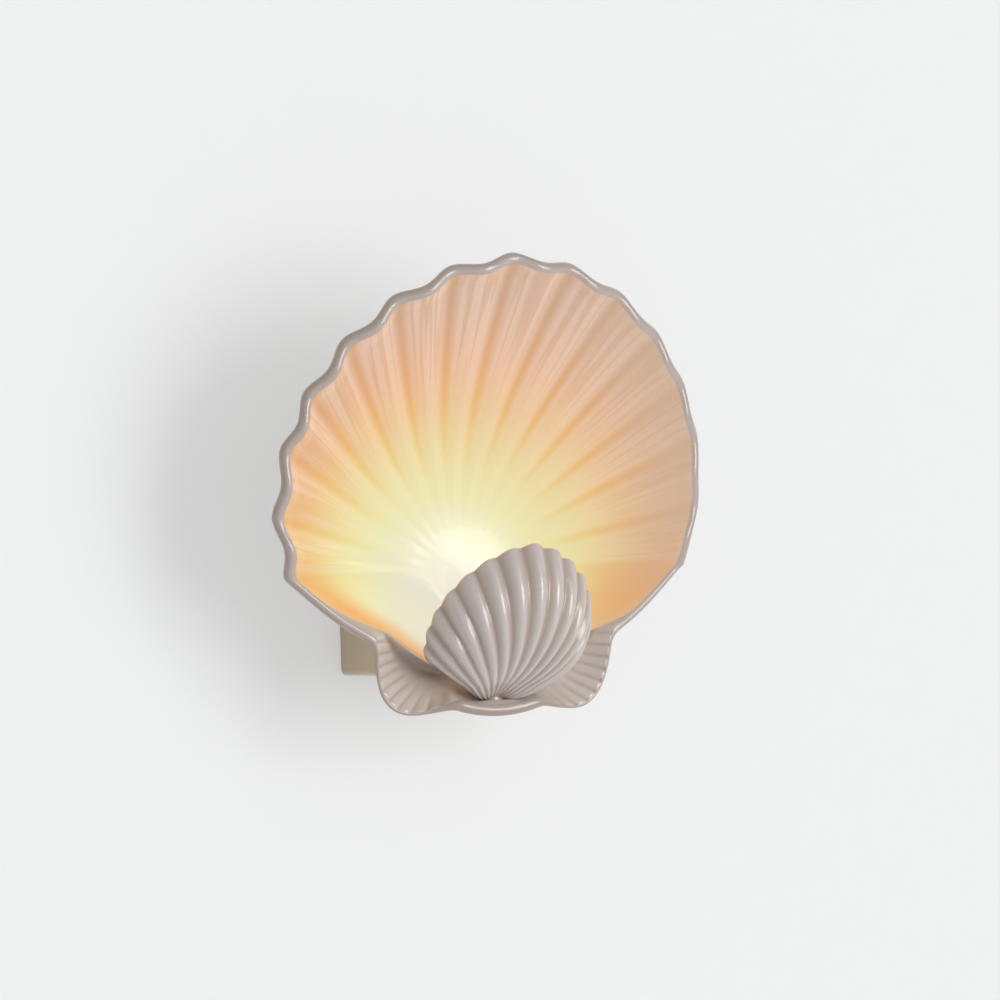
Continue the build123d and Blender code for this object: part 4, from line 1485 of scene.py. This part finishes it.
@dataclass
class Studio:
    """Camera, a white wall behind the wall light and a floor far below it, and soft light.

    Lengths here are in metres, and angles in degrees.
    """

    aim: tuple[float, float, float] = (0.0, -0.1082, 0.044)
    azimuth: float = -25.0
    roll: float = -1.9
    distance: float = 3.5
    lens: float = 233.1
    film: float = 36.0
    wall_colour: Colour = shade(242, 243, 243)
    own_white: float = 0.48
    half_width: float = 6.0
    floor_height: float = -1.2
    wall_gap: float = 0.0005
    sky: float = 0.49
    lamps: tuple[Lamp, ...] = (
        Lamp("key", (1.25, -2.6, 0.15), 1.3, 36.0, sun=True),
        Lamp("softbox", (0.9, -2.5, 0.9), 7.0, 1.9),
    )

    def camera(self) -> None:
        """Camera level with the light, to its left, turned a little about its own view."""
        data = bpy.data.cameras.new("camera")
        data.lens = self.lens
        data.sensor_width = self.film
        data.clip_end = 100.0
        made = add("camera", data)
        a = math.radians(self.azimuth)
        away = Vector((math.sin(a), -math.cos(a), 0.0))
        made.location = Vector(self.aim) + away * self.distance
        turn = (-away).to_track_quat("-Z", "Y").to_matrix().to_4x4()
        roll = Matrix.Rotation(math.radians(self.roll), 4, "Z")
        made.matrix_world = Matrix.Translation(made.location) @ turn @ roll
        bpy.context.scene.camera = made

    def plane(self, name: str, corners: Sequence[Sequence[float]]) -> None:
        """White surface of the stage, seen only from its front.

        Args:
            name: its name.
            corners: its four corners, against the clock as seen from its front.
        """
        mesh = face_mesh(name, np.array(corners, float), [np.arange(4)[None]])
        made = add(name, mesh)
        mesh.materials.append(self.paper(name))
        made.visible_shadow = False

    def paper(self, name: str) -> bpy.types.Material:
        """Matt white with a share of its own light, and clear from behind.

        Args:
            name: the material's name.

        Returns:
            The material.
        """
        shader = Shader(name)
        shader.set(Base_Color=self.wall_colour, Roughness=0.95, Specular_IOR_Level=0.0)
        seen, glossy, through = (
            shader.node("ShaderNodeLightPath", {}, {}, f"Is {ray} Ray")
            for ray in ("Camera", "Glossy", "Transmission")
        )
        pale = shader.node("ShaderNodeEmission", {}, {"Color": self.wall_colour})
        clear = shader.node("ShaderNodeBsdfTransparent", {}, {})
        behind = shader.node("ShaderNodeNewGeometry", {}, {}, "Backfacing")
        share = (seen + glossy + through) * self.own_white
        body = Value(shader, shader.body.outputs[0])
        front = shader.node("ShaderNodeMixShader", {}, {0: share, 1: body, 2: pale})
        both = shader.node("ShaderNodeMixShader", {}, {0: behind, 1: front, 2: clear})
        shader.feed(shader.output.inputs[0], both)
        return shader.material

    def world(self) -> None:
        """Even light from all round."""
        world = bpy.data.worlds.new("studio")
        world.use_nodes = True
        sky = world.node_tree.nodes["Background"]
        sky.inputs["Color"].default_value = (1.0, 1.0, 1.0, 1.0)
        sky.inputs["Strength"].default_value = self.sky
        bpy.context.scene.world = world

    def build(self) -> None:
        """Sets up the camera, the stage and the lamps."""
        self.camera()
        wide, low, behind = self.half_width, self.floor_height, self.wall_gap
        edge = [(-wide, behind, low), (wide, behind, low)]
        self.plane("wall", [*edge, (wide, behind, wide), (-wide, behind, wide)])
        self.plane("floor", [(-wide, -wide, low), (wide, -wide, low), *reversed(edge)])
        self.world()
        for lamp in self.lamps:
            lamp.make(Vector(self.aim))
        bpy.context.scene.view_settings.view_transform = "Standard"
        LOG.info("studio: camera, wall, floor and lamps")


def main() -> None:
    """Loads the frame, builds the shells, dresses the fittings and sets up the studio."""
    logging.basicConfig(level=logging.INFO, format="%(name)s: %(message)s")
    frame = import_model()
    Studio().build()
    FlutedBowl().build(LitGlaze("bowl_glaze"))
    SmallShell().build(RibGlaze("small_glaze", (0.60, 0.53, 0.505), (0.52, 0.44, 0.40)))
    Fittings(frame).dress(["shell_bowl", "small_shell"])


if __name__ == "__main__":
    main()
